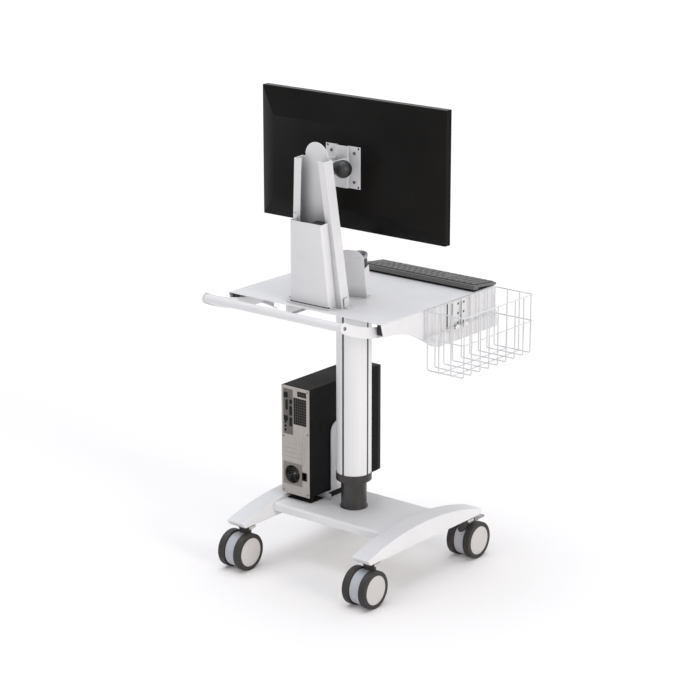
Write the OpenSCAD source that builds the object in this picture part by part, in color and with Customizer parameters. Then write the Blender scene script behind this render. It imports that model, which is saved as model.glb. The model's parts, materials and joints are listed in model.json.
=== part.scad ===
// Mobile workstation cart. A telescopic column on a four-caster base carries a work surface with a
// monitor mast, a push handle, a keyboard, a scanner stand and a wire basket. A desktop computer stands
// in a holder on the base. Millimetres, +Z up, the user stands at -Y and the push handle is at +Y.

/* [Base] */
// Distance between the centre lines of the two legs
leg_spacing = 424; // [416:1:440]
// Width of each leg
leg_w = 58; // [52:1:60]
// Length of each leg from tip to tip
leg_l = 497; // [490:1:520]
// Height of the leg's flat underside above the floor
leg_under = 119; // [117:1:124]
// Height of the leg's arched back above its underside
leg_crown = 53; // [52:1:58]
// Depth of the deck between the legs
deck_d = 230; // [210:1:240]
// Thickness of the deck
deck_t = 23; // [18:1:24]

/* [Casters] */
// Wheel diameter
wheel_d = 101.6; // [100:0.1:104]
// Width over the two wheels of a caster
caster_w = 74; // [73:1:77]
// Distance between the front and the rear swivel axes
caster_span = 408; // [400:1:416]
// Distance that the wheel axle trails behind the swivel axis
caster_trail = 22; // [20:1:24]

/* [Column] */
// Diameter of the fixed lower tube
tube_d = 69; // [64:0.1:70]
// Outer diameter of the lifting shell
shell_d = 93.4; // [92:0.1:96]
// Height of the shell's lower end above the floor
shell_end = 256; // [248:1:266]

/* [Work surface] */
// Width of the work surface
surface_w = 504; // [496:1:512]
// Distance from the column axis to the rear edge of the surface
surface_back = 207; // [202:1:212]
// Distance from the column axis to the front edge of the surface
surface_front = 280; // [276:1:284]
// Height of the work surface above the floor at its lowest setting
surface_h = 755; // [749:1:764]
// Thickness of the folded sheet
sheet = 2; // [1.5:0.1:2.5]
// Depth of the side skirt at its front end
skirt_front_drop = 113; // [105:1:118]
// Depth of the side skirt at its rear end
skirt_rear_drop = 36; // [32:1:40]

/* [Handle] */
// Diameter of the push bar
handle_d = 22.2; // [20:0.1:24]
// Distance from the column axis to the push bar
handle_y = 323; // [315:1:330]
// Height of the push bar above the work surface
handle_rise = 11.9; // [8:0.1:16]

/* [Mast] */
// Length of the folded channel from the surface to its shoulders
mast_h = 381; // [370:1:400]
// Width of the channel at its foot
mast_foot_w = 168; // [160:1:176]
// Width of the channel at its shoulders
mast_top_w = 98; // [92:1:104]
// Depth of the channel
mast_d = 32; // [30:1:34]
// Backward lean in degrees
mast_lean = 4.1; // [3:0.1:5]
// Height of the open bin on the back of the mast
bin_h = 225; // [210:1:235]
// Depth of the bin behind the channel
bin_d = 28; // [26:1:32]

/* [Monitor] */
// Width of the monitor
monitor_w = 599; // [570:1:620]
// Height of the monitor
monitor_h = 346; // [330:1:360]
// Distance of the tilt axle above the work surface along the mast
tilt_up = 345; // [341:1:349]

/* [Computer] */
// Width of the computer case
pc_w = 95.5; // [90:0.5:96]
// Depth of the computer case
pc_d = 310; // [300:1:316]
// Height of the computer case
pc_h = 303; // [290:1:310]

/* [Basket] */
// Length of the basket between its end wires
basket_l = 294; // [290:1:300]
// Width of the basket between its side wires
basket_w = 114.5; // [100:0.5:120]
// Height of the basket from the floor wires to the rim
basket_h = 157; // [140:1:165]
// Wire diameter
wire_d = 3.2; // [2.8:0.1:3.4]

/* [Scanner stand] */
// Height of the stand along its plate
stand_h = 132; // [128:1:136]
// Turn of the stand towards the right side, in degrees
stand_turn = 15; // [12:1:18]
// Lean of the stand towards the mast, in degrees
stand_lean = 11.5; // [10.5:0.1:12.5]

/* [Keyboard] */
// Width of the keyboard
keyboard_w = 380; // [370:1:390]
// Slope of the keyboard's key plate in degrees
keyboard_tilt = 6; // [5.5:0.1:6.5]

/* [Hidden] */
$fn = 64;

// Paint and plastic colours
white = "#dcdcde";
light_grey = "#b9b8b8";
dark_grey = "#343231";
black = "#161616";
steel = "#a8a5a2";

// Clearances: running fit on a radius, and free air beside a moving piece
run_fit = 0.05;
free_gap = 0.4;

// Base
leg_x = leg_spacing / 2;
base_y = -5.5;
leg_sag = 38;
leg_undercut = 12;
leg_arc_r = (pow(leg_l / 2, 2) + pow(leg_sag, 2)) / (2 * leg_sag);
leg_tip_z = leg_under + leg_crown - leg_sag;
deck_top = leg_under + 41;
deck_w = leg_spacing - leg_w;

// Casters: corner name, side and end of the cart
wheel_r = wheel_d / 2;
swivel_y = caster_span / 2;
wheel_w = 21;
wheel_in = caster_w / 2 - wheel_w;
hub_r = 39;
stem_r = 5.5;
axle_r = 5;
drum_r = 46;
drum_half = wheel_in - 1;
socket_h = 16;
pedal_y = -caster_trail - 19;
pedal_z = wheel_r + 50;
pedal_pin_r = 3;

// Column
tube_r = tube_d / 2;
tube_top = surface_h - 46;
shell_r = shell_d / 2;
shell_bore = shell_r - 4.7;
head_top = surface_h - sheet;
head_under = head_top - 5;
rod_disc_z = surface_h - 39;
rod_disc_t = 6;
rod_r = 5;
gas_r = 12;
gas_top = 594;
lever_y = -78;
lever_z = surface_h - 23;
lever_pin_r = 3;

// Side skirt: the lower edge steps down from the rear to the front in an S
skirt_x = surface_w / 2;
skirt_low = surface_h - skirt_front_drop;
skirt_high = surface_h - skirt_rear_drop;
step_y = 190;
step_a = 30;
step_r1 = 300;
step_r2 = 70;
step_z1 = skirt_high - step_r1 * (1 - cos(step_a));
step_z2 = skirt_low + step_r2 * (1 - cos(step_a));
step_y1 = step_y - step_r1 * sin(step_a);
step_y2 = step_y1 - (step_z1 - step_z2) / tan(step_a);
skirt_nose_y = -297;

// Accessory hole grid, one inch pitch
grid_pitch = 25.4;
grid_y = -123.3;
grid_z = surface_h - 38.5;
grid_hole_r = 2.75;

// Push handle arms: bars swept up along an arc
handle_z = surface_h + handle_rise;
arm_x = 229;
arm_t = 4;
arm_half = 14;
arm_flat_y = 127;
arm_rise = handle_z - (surface_h - 32);
arm_r = (pow(handle_y - arm_flat_y, 2) + pow(arm_rise, 2)) / (2 * arm_rise);
arm_centre_z = handle_z - arm_rise + arm_r;
arm_front_y = 100;
arm_end_r = 14;

// Mast
mast_y = 121;
mast_sheet = 2.5;
mast_lip = 22;
tongue_r = 36.5;
bin_foot_half = 65;
bin_top_half = 51.4;
bin_foot = 5.5;

// Monitor and its tilt joint
tilt_reach = 46;
tilt_y = mast_y - tilt_reach * cos(mast_lean) + tilt_up * sin(mast_lean);
tilt_z = surface_h + tilt_reach * sin(mast_lean) + tilt_up * cos(mast_lean);
tilt_pin_r = 4;
ear_in = 16;
ear_out = 20;
monitor_z = tilt_z - 7;
monitor_face_y = -12;
frame_back_y = 9;
panel_y = 43;
vesa_large = 100;
vesa_small = 75;

// Computer
pc_x = 94;
pc_y = 73 - pc_d;
pc_z = deck_top + 19;
pc_sheet = 1.5;
fan_x = pc_x + 58;
fan_z = pc_z + 57;
fan_r = 25.5;
inlet_x = pc_x + 16.5;
inlet_z = fan_z + 1;
inlet_half_w = 6.5;
inlet_half_h = 10;

// Basket
wire_r = wire_d / 2;
wire_lap = wire_d * 0.8;
wire_bend = 5;
basket_y = -116.2;
basket_in_x = -263.5;
basket_out_x = basket_in_x - basket_w;
basket_top = surface_h;
basket_low = basket_top - basket_h;
basket_mid = basket_top - 71;
basket_pitch = 38.1;
weld_gap = 0.05;
rail_in_x = basket_in_x + wire_lap - wire_bend;
rail_out_x = basket_out_x - wire_lap + wire_bend;
u_wires = concat([-basket_l / 2], [for (i = [-3:3]) i * basket_pitch], [basket_l / 2]);
third_wires = [for (third = [1, 2]) basket_out_x + basket_w * third / 3];

// Keyboard, in its own tilted frame: y from its front edge, z from the underside of its key plate
keyboard_x = -250;
keyboard_y = -287;
keyboard_d = 101;
keyboard_t = 7;
bar_front = 79;
bar_drop = 5;
key_pitch = 17.6;
key_depth = 16.4;
key_front = 5;
key_low = keyboard_t - 0.1;
key_h = 3.5;
key_stem = 8;
key_well = 3.5;

// The outer box, whose bottom centre is the origin
box_x0 = basket_out_x - wire_lap - wire_r;
box_x1 = monitor_w / 2;
box_y0 = skirt_nose_y;
box_y1 = handle_y + arm_end_r;

function arc(cy, cz, r, a0, a1, n) =
    [for (i = [0:n]) [cy + r * cos(a0 + (a1 - a0) * i / n), cz + r * sin(a0 + (a1 - a0) * i / n)]];
function mast_half(v) = mast_foot_w / 2 - (mast_foot_w - mast_top_w) / 2 * v / mast_h;
function caster_pos(corner) =
    [(corner[1] == "l" ? 1 : -1) * leg_x, base_y + (corner[0] == "f" ? -1 : 1) * swivel_y, 0];
function axle_y(corner) = (corner[0] == "f" ? -1 : 1) * caster_trail;

// Moves the cart from the column axis to the middle of its outer box
module placed() {
    translate([-(box_x0 + box_x1) / 2, -(box_y0 + box_y1) / 2, 0]) children();
}

// A (y, z) outline made into a plate between two x values
module side_plate(x0, x1) {
    translate([min(x0, x1), 0, 0]) rotate([90, 0, 90]) linear_extrude(abs(x1 - x0)) children();
}

// A round bar along X
module bar_x(r, x0, x1, y, z) {
    translate([x0, y, z]) rotate([0, 90, 0]) cylinder(r = r, h = x1 - x0);
}

// A round bar along Y
module bar_y(r, x, y0, y1, z) {
    translate([x, y0, z]) rotate([-90, 0, 0]) cylinder(r = r, h = y1 - y0);
}

// A round bar along Z
module bar_z(r, x, y, z0, z1) {
    translate([x, y, z0]) cylinder(r = r, h = z1 - z0);
}

// A box between two corners
module block(a, b) {
    translate(a) cube(b - a);
}

// Legs: arched castings with undercut ends and a blind socket for each caster stem
module leg(side) {
    placed() translate([0, base_y, 0]) difference() {
        side_plate(side * leg_x - leg_w / 2, side * leg_x + leg_w / 2) intersection() {
            translate([0, leg_under + leg_crown - leg_arc_r]) circle(leg_arc_r, $fn = 180);
            polygon([
                [-leg_l / 2 + leg_undercut, leg_under], [leg_l / 2 - leg_undercut, leg_under],
                [leg_l / 2 + leg_undercut, 2 * leg_tip_z - leg_under],
                [leg_l / 2 + leg_undercut, leg_under + leg_crown],
                [-leg_l / 2 - leg_undercut, leg_under + leg_crown],
                [-leg_l / 2 - leg_undercut, 2 * leg_tip_z - leg_under]
            ]);
        }
        for (end = [-1, 1])
            bar_z(stem_r + run_fit, side * leg_x, end * swivel_y, leg_under - 1, leg_under + socket_h);
    }
}

module leg_left() {
    color(white) leg(1);
}

module leg_right() {
    color(white) leg(-1);
}

// Deck: a cast plate between the legs with softly rounded upper edges
module deck() {
    round_r = 7;
    color(white) placed() side_plate(-deck_w / 2, deck_w / 2) translate([0, deck_top - deck_t]) union() {
        translate([-deck_d / 2, 0]) square([deck_d, deck_t - round_r]);
        translate([-deck_d / 2 + round_r, 0]) square([deck_d - 2 * round_r, deck_t]);
        for (end = [-1, 1])
            translate([end * (deck_d / 2 - round_r), deck_t - round_r]) circle(round_r);
    }
}

// Lower column: a closed-bottom tube standing on a flange ring
module lower_column() {
    floor_t = 6;
    color(dark_grey) placed() difference() {
        union() {
            bar_z(tube_r, 0, 0, deck_top, tube_top);
            bar_z(tube_r + 3, 0, 0, deck_top, deck_top + 4);
        }
        bar_z(tube_r - 4.5, 0, 0, deck_top + floor_t, tube_top + 1);
    }
}

// Upper guide: a plastic ring on the tube's top end that the shell slides over
module upper_guide() {
    color(light_grey) placed() difference() {
        bar_z(shell_bore - run_fit, 0, 0, tube_top - 20, tube_top - 2);
        bar_z(tube_r, 0, 0, tube_top - 21, tube_top);
    }
}

// Gas spring cylinder with a bored end cap
module gas_cylinder() {
    foot = deck_top + 6;
    color(black) placed() difference() {
        bar_z(gas_r, 0, 0, foot, gas_top);
        bar_z(gas_r - 3, 0, 0, foot + 6, gas_top - 8);
        bar_z(rod_r + run_fit, 0, 0, gas_top - 9, gas_top + 1);
    }
}

// Gas spring rod with its piston and the valve pin that the lever presses
module gas_rod() {
    foot = deck_top + 14;
    rod_top = rod_disc_z + rod_disc_t;
    color(steel) placed() {
        bar_z(rod_r, 0, 0, foot, rod_top);
        bar_z(gas_r - 3 - run_fit, 0, 0, foot, foot + 15);
        bar_z(2.5, 0, 0, rod_top - 1, rod_top + 2);
    }
}

// Upper column: an extruded shell with four grooves and a slot for the lever
module upper_column() {
    groove_w = 6.5;
    groove_d = 3;
    slot_w = 24;
    color(white) placed() difference() {
        bar_z(shell_r, 0, 0, shell_end, head_under);
        bar_z(shell_bore, 0, 0, shell_end - 1, head_under + 1);
        for (turn = [0:90:270])
            rotate([0, 0, turn])
                block([shell_r - groove_d, -groove_w / 2, shell_end - 1],
                      [shell_r + 1, groove_w / 2, head_under + 1]);
        block([-slot_w / 2, -shell_r - 1, rod_disc_z + 4], [slot_w / 2, -shell_bore + 8, head_under + 1]);
    }
}

// Collar: the guide bush under the shell, running on the lower tube
module column_collar() {
    lip = 3;
    color(dark_grey) placed() difference() {
        bar_z(shell_r + 1.3, 0, 0, shell_end - 18, shell_end + lip);
        bar_z(shell_r, 0, 0, shell_end, shell_end + lip + 1);
        bar_z(tube_r + run_fit, 0, 0, shell_end - 19, shell_end + 1);
    }
}

// Column head: a channel under the work surface, the disc that holds the gas rod, the lever's ears
module column_head() {
    ear_t = 4;
    channel_x = 100;
    channel_front = -100;
    channel_back = 154;
    color(white) placed() difference() {
        union() {
            block([-channel_x, channel_front, head_under], [channel_x, channel_back, head_top]);
            bar_z(shell_bore - 0.1, 0, 0, rod_disc_z, rod_disc_z + rod_disc_t);
            for (side = [-1, 1]) {
                translate([side * (channel_x - 1.5) - 1.5, channel_front, head_top - 42])
                    cube([3, channel_back - channel_front, 40]);
                translate([side * 28 - 4, -15, rod_disc_z + rod_disc_t - 1])
                    cube([8, 30, head_under - rod_disc_z - rod_disc_t + 2]);
                translate([side * 11 - ear_t / 2, lever_y - 10, lever_z - 9])
                    cube([ear_t, 20, head_under - lever_z + 10]);
            }
        }
        bar_z(rod_r, 0, 0, rod_disc_z - 1, rod_disc_z + rod_disc_t + 1);
        bar_x(lever_pin_r + run_fit, -20, 20, lever_y, lever_z);
    }
}

// Release lever: a bar from the paddle under the front edge to the gas spring's valve pin
module release_lever() {
    paddle_y = -surface_front + 18;
    color(dark_grey) placed() {
        block([-8, paddle_y + 10, lever_z - 3], [8, 5, lever_z + 3]);
        block([-30, paddle_y, lever_z - 5], [30, paddle_y + 50, lever_z + 5]);
        bar_x(5, -8, 8, lever_y, lever_z);
        bar_x(lever_pin_r, -13, 13, lever_y, lever_z);
    }
}

// Caster body: the drum between the wheels, its short neck and the stem
module caster_body(corner) {
    has_pedal = corner[0] == "f";
    color(light_grey) placed() translate(caster_pos(corner)) difference() {
        union() {
            bar_x(drum_r, -drum_half, drum_half, axle_y(corner), wheel_r);
            bar_z(drum_half, 0, 0, wheel_r + 20, leg_under - 1.5);
            bar_z(stem_r, 0, 0, leg_under - 2, leg_under + socket_h - 1);
            if (has_pedal)
                block([-6, pedal_y - 5, wheel_r + 20], [6, -10, pedal_z + 5]);
        }
        bar_x(axle_r + run_fit, -drum_half - 1, drum_half + 1, axle_y(corner), wheel_r);
        if (has_pedal)
            bar_x(pedal_pin_r + run_fit, -7, 7, pedal_y, pedal_z);
    }
}

// Turns a radius and axial profile about the wheel axle on one side of the caster
module wheel_turned(corner, side) {
    placed() translate(caster_pos(corner) + [0, axle_y(corner), wheel_r])
        rotate([0, side * 90, 0]) rotate_extrude($fn = 96) children();
}

// Tyres: two rubber rings with rounded shoulders
module caster_tyres(corner) {
    shoulder = 3;
    color(dark_grey) for (side = [-1, 1])
        wheel_turned(corner, side) union() {
            translate([hub_r, wheel_in]) square([wheel_r - hub_r - shoulder, wheel_w]);
            translate([hub_r, wheel_in + shoulder]) square([wheel_r - hub_r, wheel_w - 2 * shoulder]);
            for (edge = [wheel_in + shoulder, wheel_in + wheel_w - shoulder])
                translate([wheel_r - shoulder, edge]) circle(shoulder);
        }
}

// Hubs: two dished plastic discs pressed onto the axle
module caster_hubs(corner) {
    dish = 2.5;
    color(light_grey) for (side = [-1, 1])
        wheel_turned(corner, side) polygon([
            [axle_r, wheel_in], [hub_r, wheel_in], [hub_r, wheel_in + wheel_w - 0.5],
            [hub_r - 4, wheel_in + wheel_w - 0.5], [hub_r - 7, wheel_in + wheel_w - dish],
            [axle_r, wheel_in + wheel_w - dish]
        ]);
}

// Axle: one pin through both hubs and the drum
module caster_axle(corner) {
    color(steel) placed() translate(caster_pos(corner))
        bar_x(axle_r, -wheel_in - wheel_w + 4, wheel_in + wheel_w - 4, axle_y(corner), wheel_r);
}

// Brake pedal: a foot lever on a pin in the caster's lug
module brake_pedal(corner) {
    color(black) placed() translate(caster_pos(corner)) {
        for (side = [-1, 1])
            translate([side * 9.2 - 2.8, pedal_y - 10, pedal_z - 5]) cube([5.6, 15, 10]);
        block([-14, pedal_y - 36, pedal_z - 3], [14, pedal_y - 8, pedal_z + 3]);
        bar_x(pedal_pin_r, -12, 12, pedal_y, pedal_z);
    }
}

// Work surface: one sheet with a folded front edge
module work_surface() {
    fold = 18;
    color(white) placed() {
        block([-skirt_x, -surface_front, head_top], [skirt_x, surface_back, surface_h]);
        block([-skirt_x + 3, -surface_front, head_top - fold],
              [skirt_x - 3, -surface_front + sheet, surface_h]);
    }
}

// Outline of a side skirt in the (y, z) plane
module skirt_outline() {
    polygon(concat(
        [[-272, head_top], [surface_back + 0.5, head_top], [198, skirt_high]],
        arc(step_y, skirt_high - step_r1, step_r1, 90, 90 + step_a, 14),
        arc(step_y2 - step_r2 * sin(step_a), skirt_low + step_r2, step_r2, 270 + step_a, 270, 8),
        [[skirt_nose_y + 6, skirt_low], [skirt_nose_y, skirt_low + 6]]
    ));
}

// Skirt: a folded side panel with lips along its lower and upper edges
module skirt(side) {
    lip = 14;
    outer = side * skirt_x;
    color(white) placed() {
        side_plate(outer, outer - side * sheet) skirt_outline();
        side_plate(outer, outer - side * lip) intersection() {
            difference() {
                skirt_outline();
                translate([0, sheet]) skirt_outline();
            }
            translate([-285, skirt_low]) square([470, skirt_front_drop - 20]);
        }
        side_plate(outer, outer - side * lip)
            translate([-260, head_top - sheet]) square([455, sheet]);
    }
}

// Rows and columns of the accessory grid
module grid_holes(x0, x1) {
    for (row = [-1:1], column = [-0.5, 0.5])
        bar_x(grid_hole_r, x0, x1, grid_y + column * grid_pitch, grid_z + row * grid_pitch);
}

// Left skirt: has the accessory grid in its wall and a cable notch in its lower edge
module skirt_left() {
    difference() {
        skirt(1);
        placed() grid_holes(skirt_x - 10, skirt_x + 5);
        placed() block([skirt_x - 30, -22, skirt_low - 5], [skirt_x + 5, 28, surface_h - 62]);
    }
}

module skirt_right() {
    skirt(-1);
}

// Accessory plate on the right skirt, with slots between its leaves and two hooks for the basket's rail
module accessory_plate() {
    plate_t = 3;
    x0 = -skirt_x - plate_t;
    hook_top = basket_mid - wire_r - 0.1;
    tip_x = basket_in_x + wire_lap - wire_r - 0.6;
    tip_t = 2;
    color(white) placed() {
        difference() {
            block([x0, -161, hook_top - 6], [-skirt_x, -67, surface_h - 3]);
            grid_holes(x0 - 1, -skirt_x + 1);
            block([x0 - 1, -125.5, surface_h - 71], [-skirt_x + 1, -122.5, surface_h - 8]);
            block([x0 - 1, -86.5, surface_h - 42], [-skirt_x + 1, -83.5, surface_h - 8]);
        }
        for (hook_y = [-97, -135]) {
            block([tip_x - tip_t, hook_y - 8, hook_top - 3], [x0 + 1, hook_y + 8, hook_top]);
            block([tip_x - tip_t, hook_y - 8, hook_top - 3], [tip_x, hook_y + 8, hook_top + 7]);
        }
    }
}

// A quarter bend of wire about an axis, placed by its centre of curvature
module wire_corner(at, turn) {
    translate(at) rotate(turn) rotate_extrude(angle = 90, $fn = 48)
        translate([wire_bend, 0]) circle(wire_r, $fn = 24);
}

// Basket: five flat grilles of welded wire, joined by the bends in their wires
module basket() {
    low = basket_low;
    lap_low = low - wire_lap;
    near = basket_l / 2 + wire_lap;
    rail = near + wire_lap;
    color(light_grey) placed() translate([0, basket_y, 0]) {
        basket_floor(low, lap_low, near);
        for (x = [basket_in_x, basket_out_x])
            basket_side(x, x == basket_in_x ? wire_lap : -wire_lap, low + wire_bend, rail);
        for (end = [-1, 1])
            basket_end(end * near, end * rail, lap_low + wire_bend);
        basket_bends(low, lap_low, near, rail);
    }
}

// Wires that cross the floor, and the two long ones laid under them
module basket_floor(low, lap_low, near) {
    reach = near - wire_bend - weld_gap;
    for (y = u_wires)
        bar_x(wire_r, basket_out_x + wire_bend + weld_gap, basket_in_x - wire_bend - weld_gap, y, low);
    for (x = third_wires)
        bar_y(wire_r, x, -reach, reach, lap_low);
}

// Upright wires of one long side with its rim and middle rail
module basket_side(x, rail_step, side_low, rail) {
    reach = rail - wire_bend - weld_gap;
    for (y = u_wires)
        bar_z(wire_r, x, y, side_low + weld_gap, basket_top + 1);
    for (z = [basket_top, basket_mid])
        bar_y(wire_r, x + rail_step, -reach, reach, z);
}

// Upright wires of one end with its rim and middle rail
module basket_end(y, rail_y, end_low) {
    for (x = third_wires)
        bar_z(wire_r, x, y, end_low + weld_gap, basket_top + 1);
    for (z = [basket_top, basket_mid])
        bar_x(wire_r, rail_out_x + weld_gap, rail_in_x - weld_gap, rail_y, z);
}

// Quarter bends from the floor up into the sides and ends, and around the corners of the rails
module basket_bends(low, lap_low, near, rail) {
    for (y = u_wires) {
        wire_corner([basket_in_x - wire_bend, y, low + wire_bend], [90, 90, 0]);
        wire_corner([basket_out_x + wire_bend, y, low + wire_bend], [90, 180, 0]);
    }
    for (x = third_wires) {
        wire_corner([x, near - wire_bend, lap_low + wire_bend], [0, 90, 0]);
        wire_corner([x, -near + wire_bend, lap_low + wire_bend], [0, 90, 180]);
    }
    for (z = [basket_top, basket_mid]) {
        wire_corner([rail_in_x, rail - wire_bend, z], [0, 0, 0]);
        wire_corner([rail_out_x, rail - wire_bend, z], [0, 0, 90]);
        wire_corner([rail_out_x, -rail + wire_bend, z], [0, 0, 180]);
        wire_corner([rail_in_x, -rail + wire_bend, z], [0, 0, 270]);
    }
}

// Push bar: a tube between the two arms
module handle_bar() {
    color(white) placed() difference() {
        bar_x(handle_d / 2, -arm_x + arm_t, arm_x - arm_t, handle_y, handle_z);
        bar_x(handle_d / 2 - 2, -arm_x, arm_x, handle_y, handle_z);
    }
}

// Handle arm: a flat bar swept up to the push bar, with two spacers that stand on the skirt
module handle_arm(side) {
    outer = side * arm_x;
    color(white) placed() {
        side_plate(outer, outer - side * arm_t) union() {
            intersection() {
                translate([arm_flat_y, arm_centre_z]) difference() {
                    circle(arm_r + arm_half, $fn = 200);
                    circle(arm_r - arm_half, $fn = 200);
                }
                translate([arm_front_y, handle_z - arm_rise - 30])
                    square([handle_y - arm_front_y, 2 * arm_rise + 30]);
            }
            translate([handle_y, handle_z]) circle(arm_end_r);
        }
        for (spacer = [[125, -31], [178, -27]])
            bar_x(6, min(outer, side * (skirt_x - sheet)), max(outer, side * (skirt_x - sheet)),
                  spacer[0], surface_h + spacer[1]);
    }
}

module handle_arm_left() {
    handle_arm(1);
}

module handle_arm_right() {
    handle_arm(-1);
}

// The mast's own frame: x across, y back from the front face of its web, z up along the lean
module leaning() {
    placed() translate([0, mast_y, surface_h]) rotate([-mast_lean, 0, 0]) children();
}

// An (x, up) outline made into a slab between two depths
module slab(y0, y1) {
    translate([0, y1, 0]) rotate([90, 0, 0]) linear_extrude(y1 - y0) children();
}

// A symmetric four-sided outline
module taper(half0, half1, v0, v1) {
    polygon([[-half0, v0], [half0, v0], [half1, v1], [-half1, v1]]);
}

// Outline of the channel, drawn in by an inset and cut at two heights
module mast_outline(inset, v0, v1) {
    taper(mast_half(v0) - inset, mast_half(v1) - inset, v0, v1);
}

// Mast: a folded channel open to the back, with return lips and a round-topped web
module mast() {
    color(white) difference() {
        leaning() difference() {
            union() {
                slab(0, mast_d) mast_outline(0, -10, mast_h);
                slab(0, mast_sheet) union() {
                    translate([0, mast_h + 3]) circle(tongue_r);
                    translate([-tongue_r, mast_h - 20]) square([2 * tongue_r, 23]);
                }
            }
            slab(mast_sheet, mast_d - mast_sheet) mast_outline(mast_sheet, -12, mast_h + 10);
            slab(mast_d - mast_sheet - 1, mast_d + 1) mast_outline(mast_lip, -12, mast_h + 10);
        }
        placed() block([-200, 0, surface_h - 60], [200, 300, surface_h]);
    }
}

// Rear bin: an open-topped pocket on the channel's lips
module rear_bin() {
    wall = 2;
    color(white) leaning() difference() {
        slab(mast_d, mast_d + bin_d) taper(bin_foot_half, bin_top_half, bin_foot, bin_h);
        slab(mast_d - 1, mast_d + bin_d - wall)
            taper(bin_foot_half - wall, bin_top_half - wall, bin_foot + wall, bin_h + 2);
    }
}

// Power pack standing in the bin
module power_pack() {
    color(black) leaning() block([-40, mast_sheet + 2, bin_foot + 2], [8, mast_d + bin_d - 5, bin_h - 9]);
}

// Tilt arm: a short arm on the front of the mast that ends in a bored barrel
module tilt_arm() {
    color(white) leaning() difference() {
        union() {
            block([-28, -4, tilt_up - 26], [28, 0, tilt_up + 26]);
            block([-ear_in + 1, -tilt_reach, tilt_up - 12], [ear_in - 1, -3, tilt_up + 12]);
            bar_x(14, -ear_in + 1, ear_in - 1, -tilt_reach, tilt_up);
        }
        bar_x(tilt_pin_r + run_fit, -30, 30, -tilt_reach, tilt_up);
    }
}

// Tilt knob: an egg-shaped grip on the clamp screw that is the tilt axle
module tilt_knob() {
    egg_r = 23;
    egg_x = -ear_out - 24;
    neck_r = 9;
    nut_r = 8;
    color(black) placed() translate([0, tilt_y, tilt_z]) rotate([0, 90, 0]) rotate_extrude()
        polygon(concat(
            [[0, egg_x - egg_r * cos(8)]],
            [for (t = [8:10:148]) [egg_r * sin(t), egg_x - egg_r * cos(t)]],
            [[neck_r, egg_x - egg_r * cos(148)], [neck_r, -ear_out - free_gap]],
            [[tilt_pin_r, -ear_out - free_gap], [tilt_pin_r, ear_out + free_gap]],
            [[nut_r, ear_out + free_gap], [nut_r, ear_out + 7], [0, ear_out + 7]]
        ));
}

// Places a child at the four corners of a square pattern on the plate
module vesa_corners(pitch) {
    for (side = [-0.5, 0.5], end = [-0.5, 0.5])
        translate([side * pitch, 0, monitor_z + end * pitch]) children();
}

// Mounting plate: a hat section with two hole patterns, and two ears for the tilt axle
module vesa_plate() {
    half_w = 56;
    half_h = 54.5;
    plate_t = 2.5;
    hat = 10;
    hole_r = 3;
    color(white) placed() difference() {
        union() {
            block([-half_w, panel_y, monitor_z - half_h], [half_w, panel_y + plate_t, monitor_z + half_h]);
            block([-ear_out, panel_y, monitor_z - half_h], [ear_out, panel_y + hat, monitor_z + half_h]);
            for (side = [-1, 1]) {
                ear_x = side * (ear_in + ear_out) / 2;
                side_plate(ear_x - 2, ear_x + 2) union() {
                    translate([panel_y + hat - 1, tilt_z - 18]) square([tilt_y - panel_y - hat + 1, 36]);
                    translate([tilt_y, tilt_z]) circle(18);
                }
            }
        }
        block([-ear_in, panel_y - 1, monitor_z - half_h - 1],
              [ear_in, panel_y + hat - plate_t, monitor_z + half_h + 1]);
        bar_x(tilt_pin_r + run_fit, -30, 30, tilt_y, tilt_z);
        for (pitch = [vesa_large, vesa_small])
            vesa_corners(pitch) bar_y(hole_r, 0, panel_y - 1, panel_y + plate_t + 1, 0);
    }
}

// Screws in the smaller pattern
module vesa_screws() {
    color(black) placed() vesa_corners(vesa_small) {
        bar_y(2, 0, panel_y, panel_y + 3, 0);
        bar_y(3.8, 0, panel_y + 2.5, panel_y + 5, 0);
    }
}

// A thin rectangle centred on the monitor, for the bevelled back
module monitor_slice(half_w, low, high, y0, y1) {
    block([-half_w, y0, monitor_z + low], [half_w, y1, monitor_z + high]);
}

// Monitor back: a bevelled shell that rises to a flat mounting panel
module monitor_back() {
    wall = 2.5;
    inset = 4;
    bevel_side = 65;
    bevel_low = 58;
    bevel_top = 68;
    half_w = monitor_w / 2;
    half_h = monitor_h / 2;
    color(black) placed() difference() {
        union() {
            monitor_slice(half_w, -half_h, half_h, monitor_face_y + 8, frame_back_y - 1);
            hull() {
                monitor_slice(half_w, -half_h, half_h, frame_back_y - 2, frame_back_y);
                monitor_slice(half_w - bevel_side, -half_h + bevel_low, half_h - bevel_top,
                              panel_y - 1, panel_y);
            }
        }
        monitor_slice(half_w - wall, -half_h + wall, half_h - wall, monitor_face_y, frame_back_y - 2);
        hull() {
            monitor_slice(half_w - inset, -half_h + inset, half_h - inset,
                          frame_back_y - 4, frame_back_y - 3);
            monitor_slice(half_w - bevel_side - inset, -half_h + bevel_low + inset,
                          half_h - bevel_top - inset, panel_y - 4, panel_y - 3);
        }
    }
}

// Front bezel: a frame around the screen, deeper along the bottom
module monitor_bezel() {
    rim = 8;
    chin = 16;
    half_w = monitor_w / 2;
    half_h = monitor_h / 2;
    color(black) placed() difference() {
        monitor_slice(half_w, -half_h, half_h, monitor_face_y, monitor_face_y + 8);
        monitor_slice(half_w - rim, -half_h + chin, half_h - rim, monitor_face_y - 1, monitor_face_y + 9);
    }
}

// Screen panel set just behind the face of the bezel
module screen_panel() {
    rim = 8;
    chin = 16;
    color("#0c0d10") placed()
        monitor_slice(monitor_w / 2 - rim, -monitor_h / 2 + chin, monitor_h / 2 - rim,
                      monitor_face_y + 1.5, monitor_face_y + 8);
}

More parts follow.
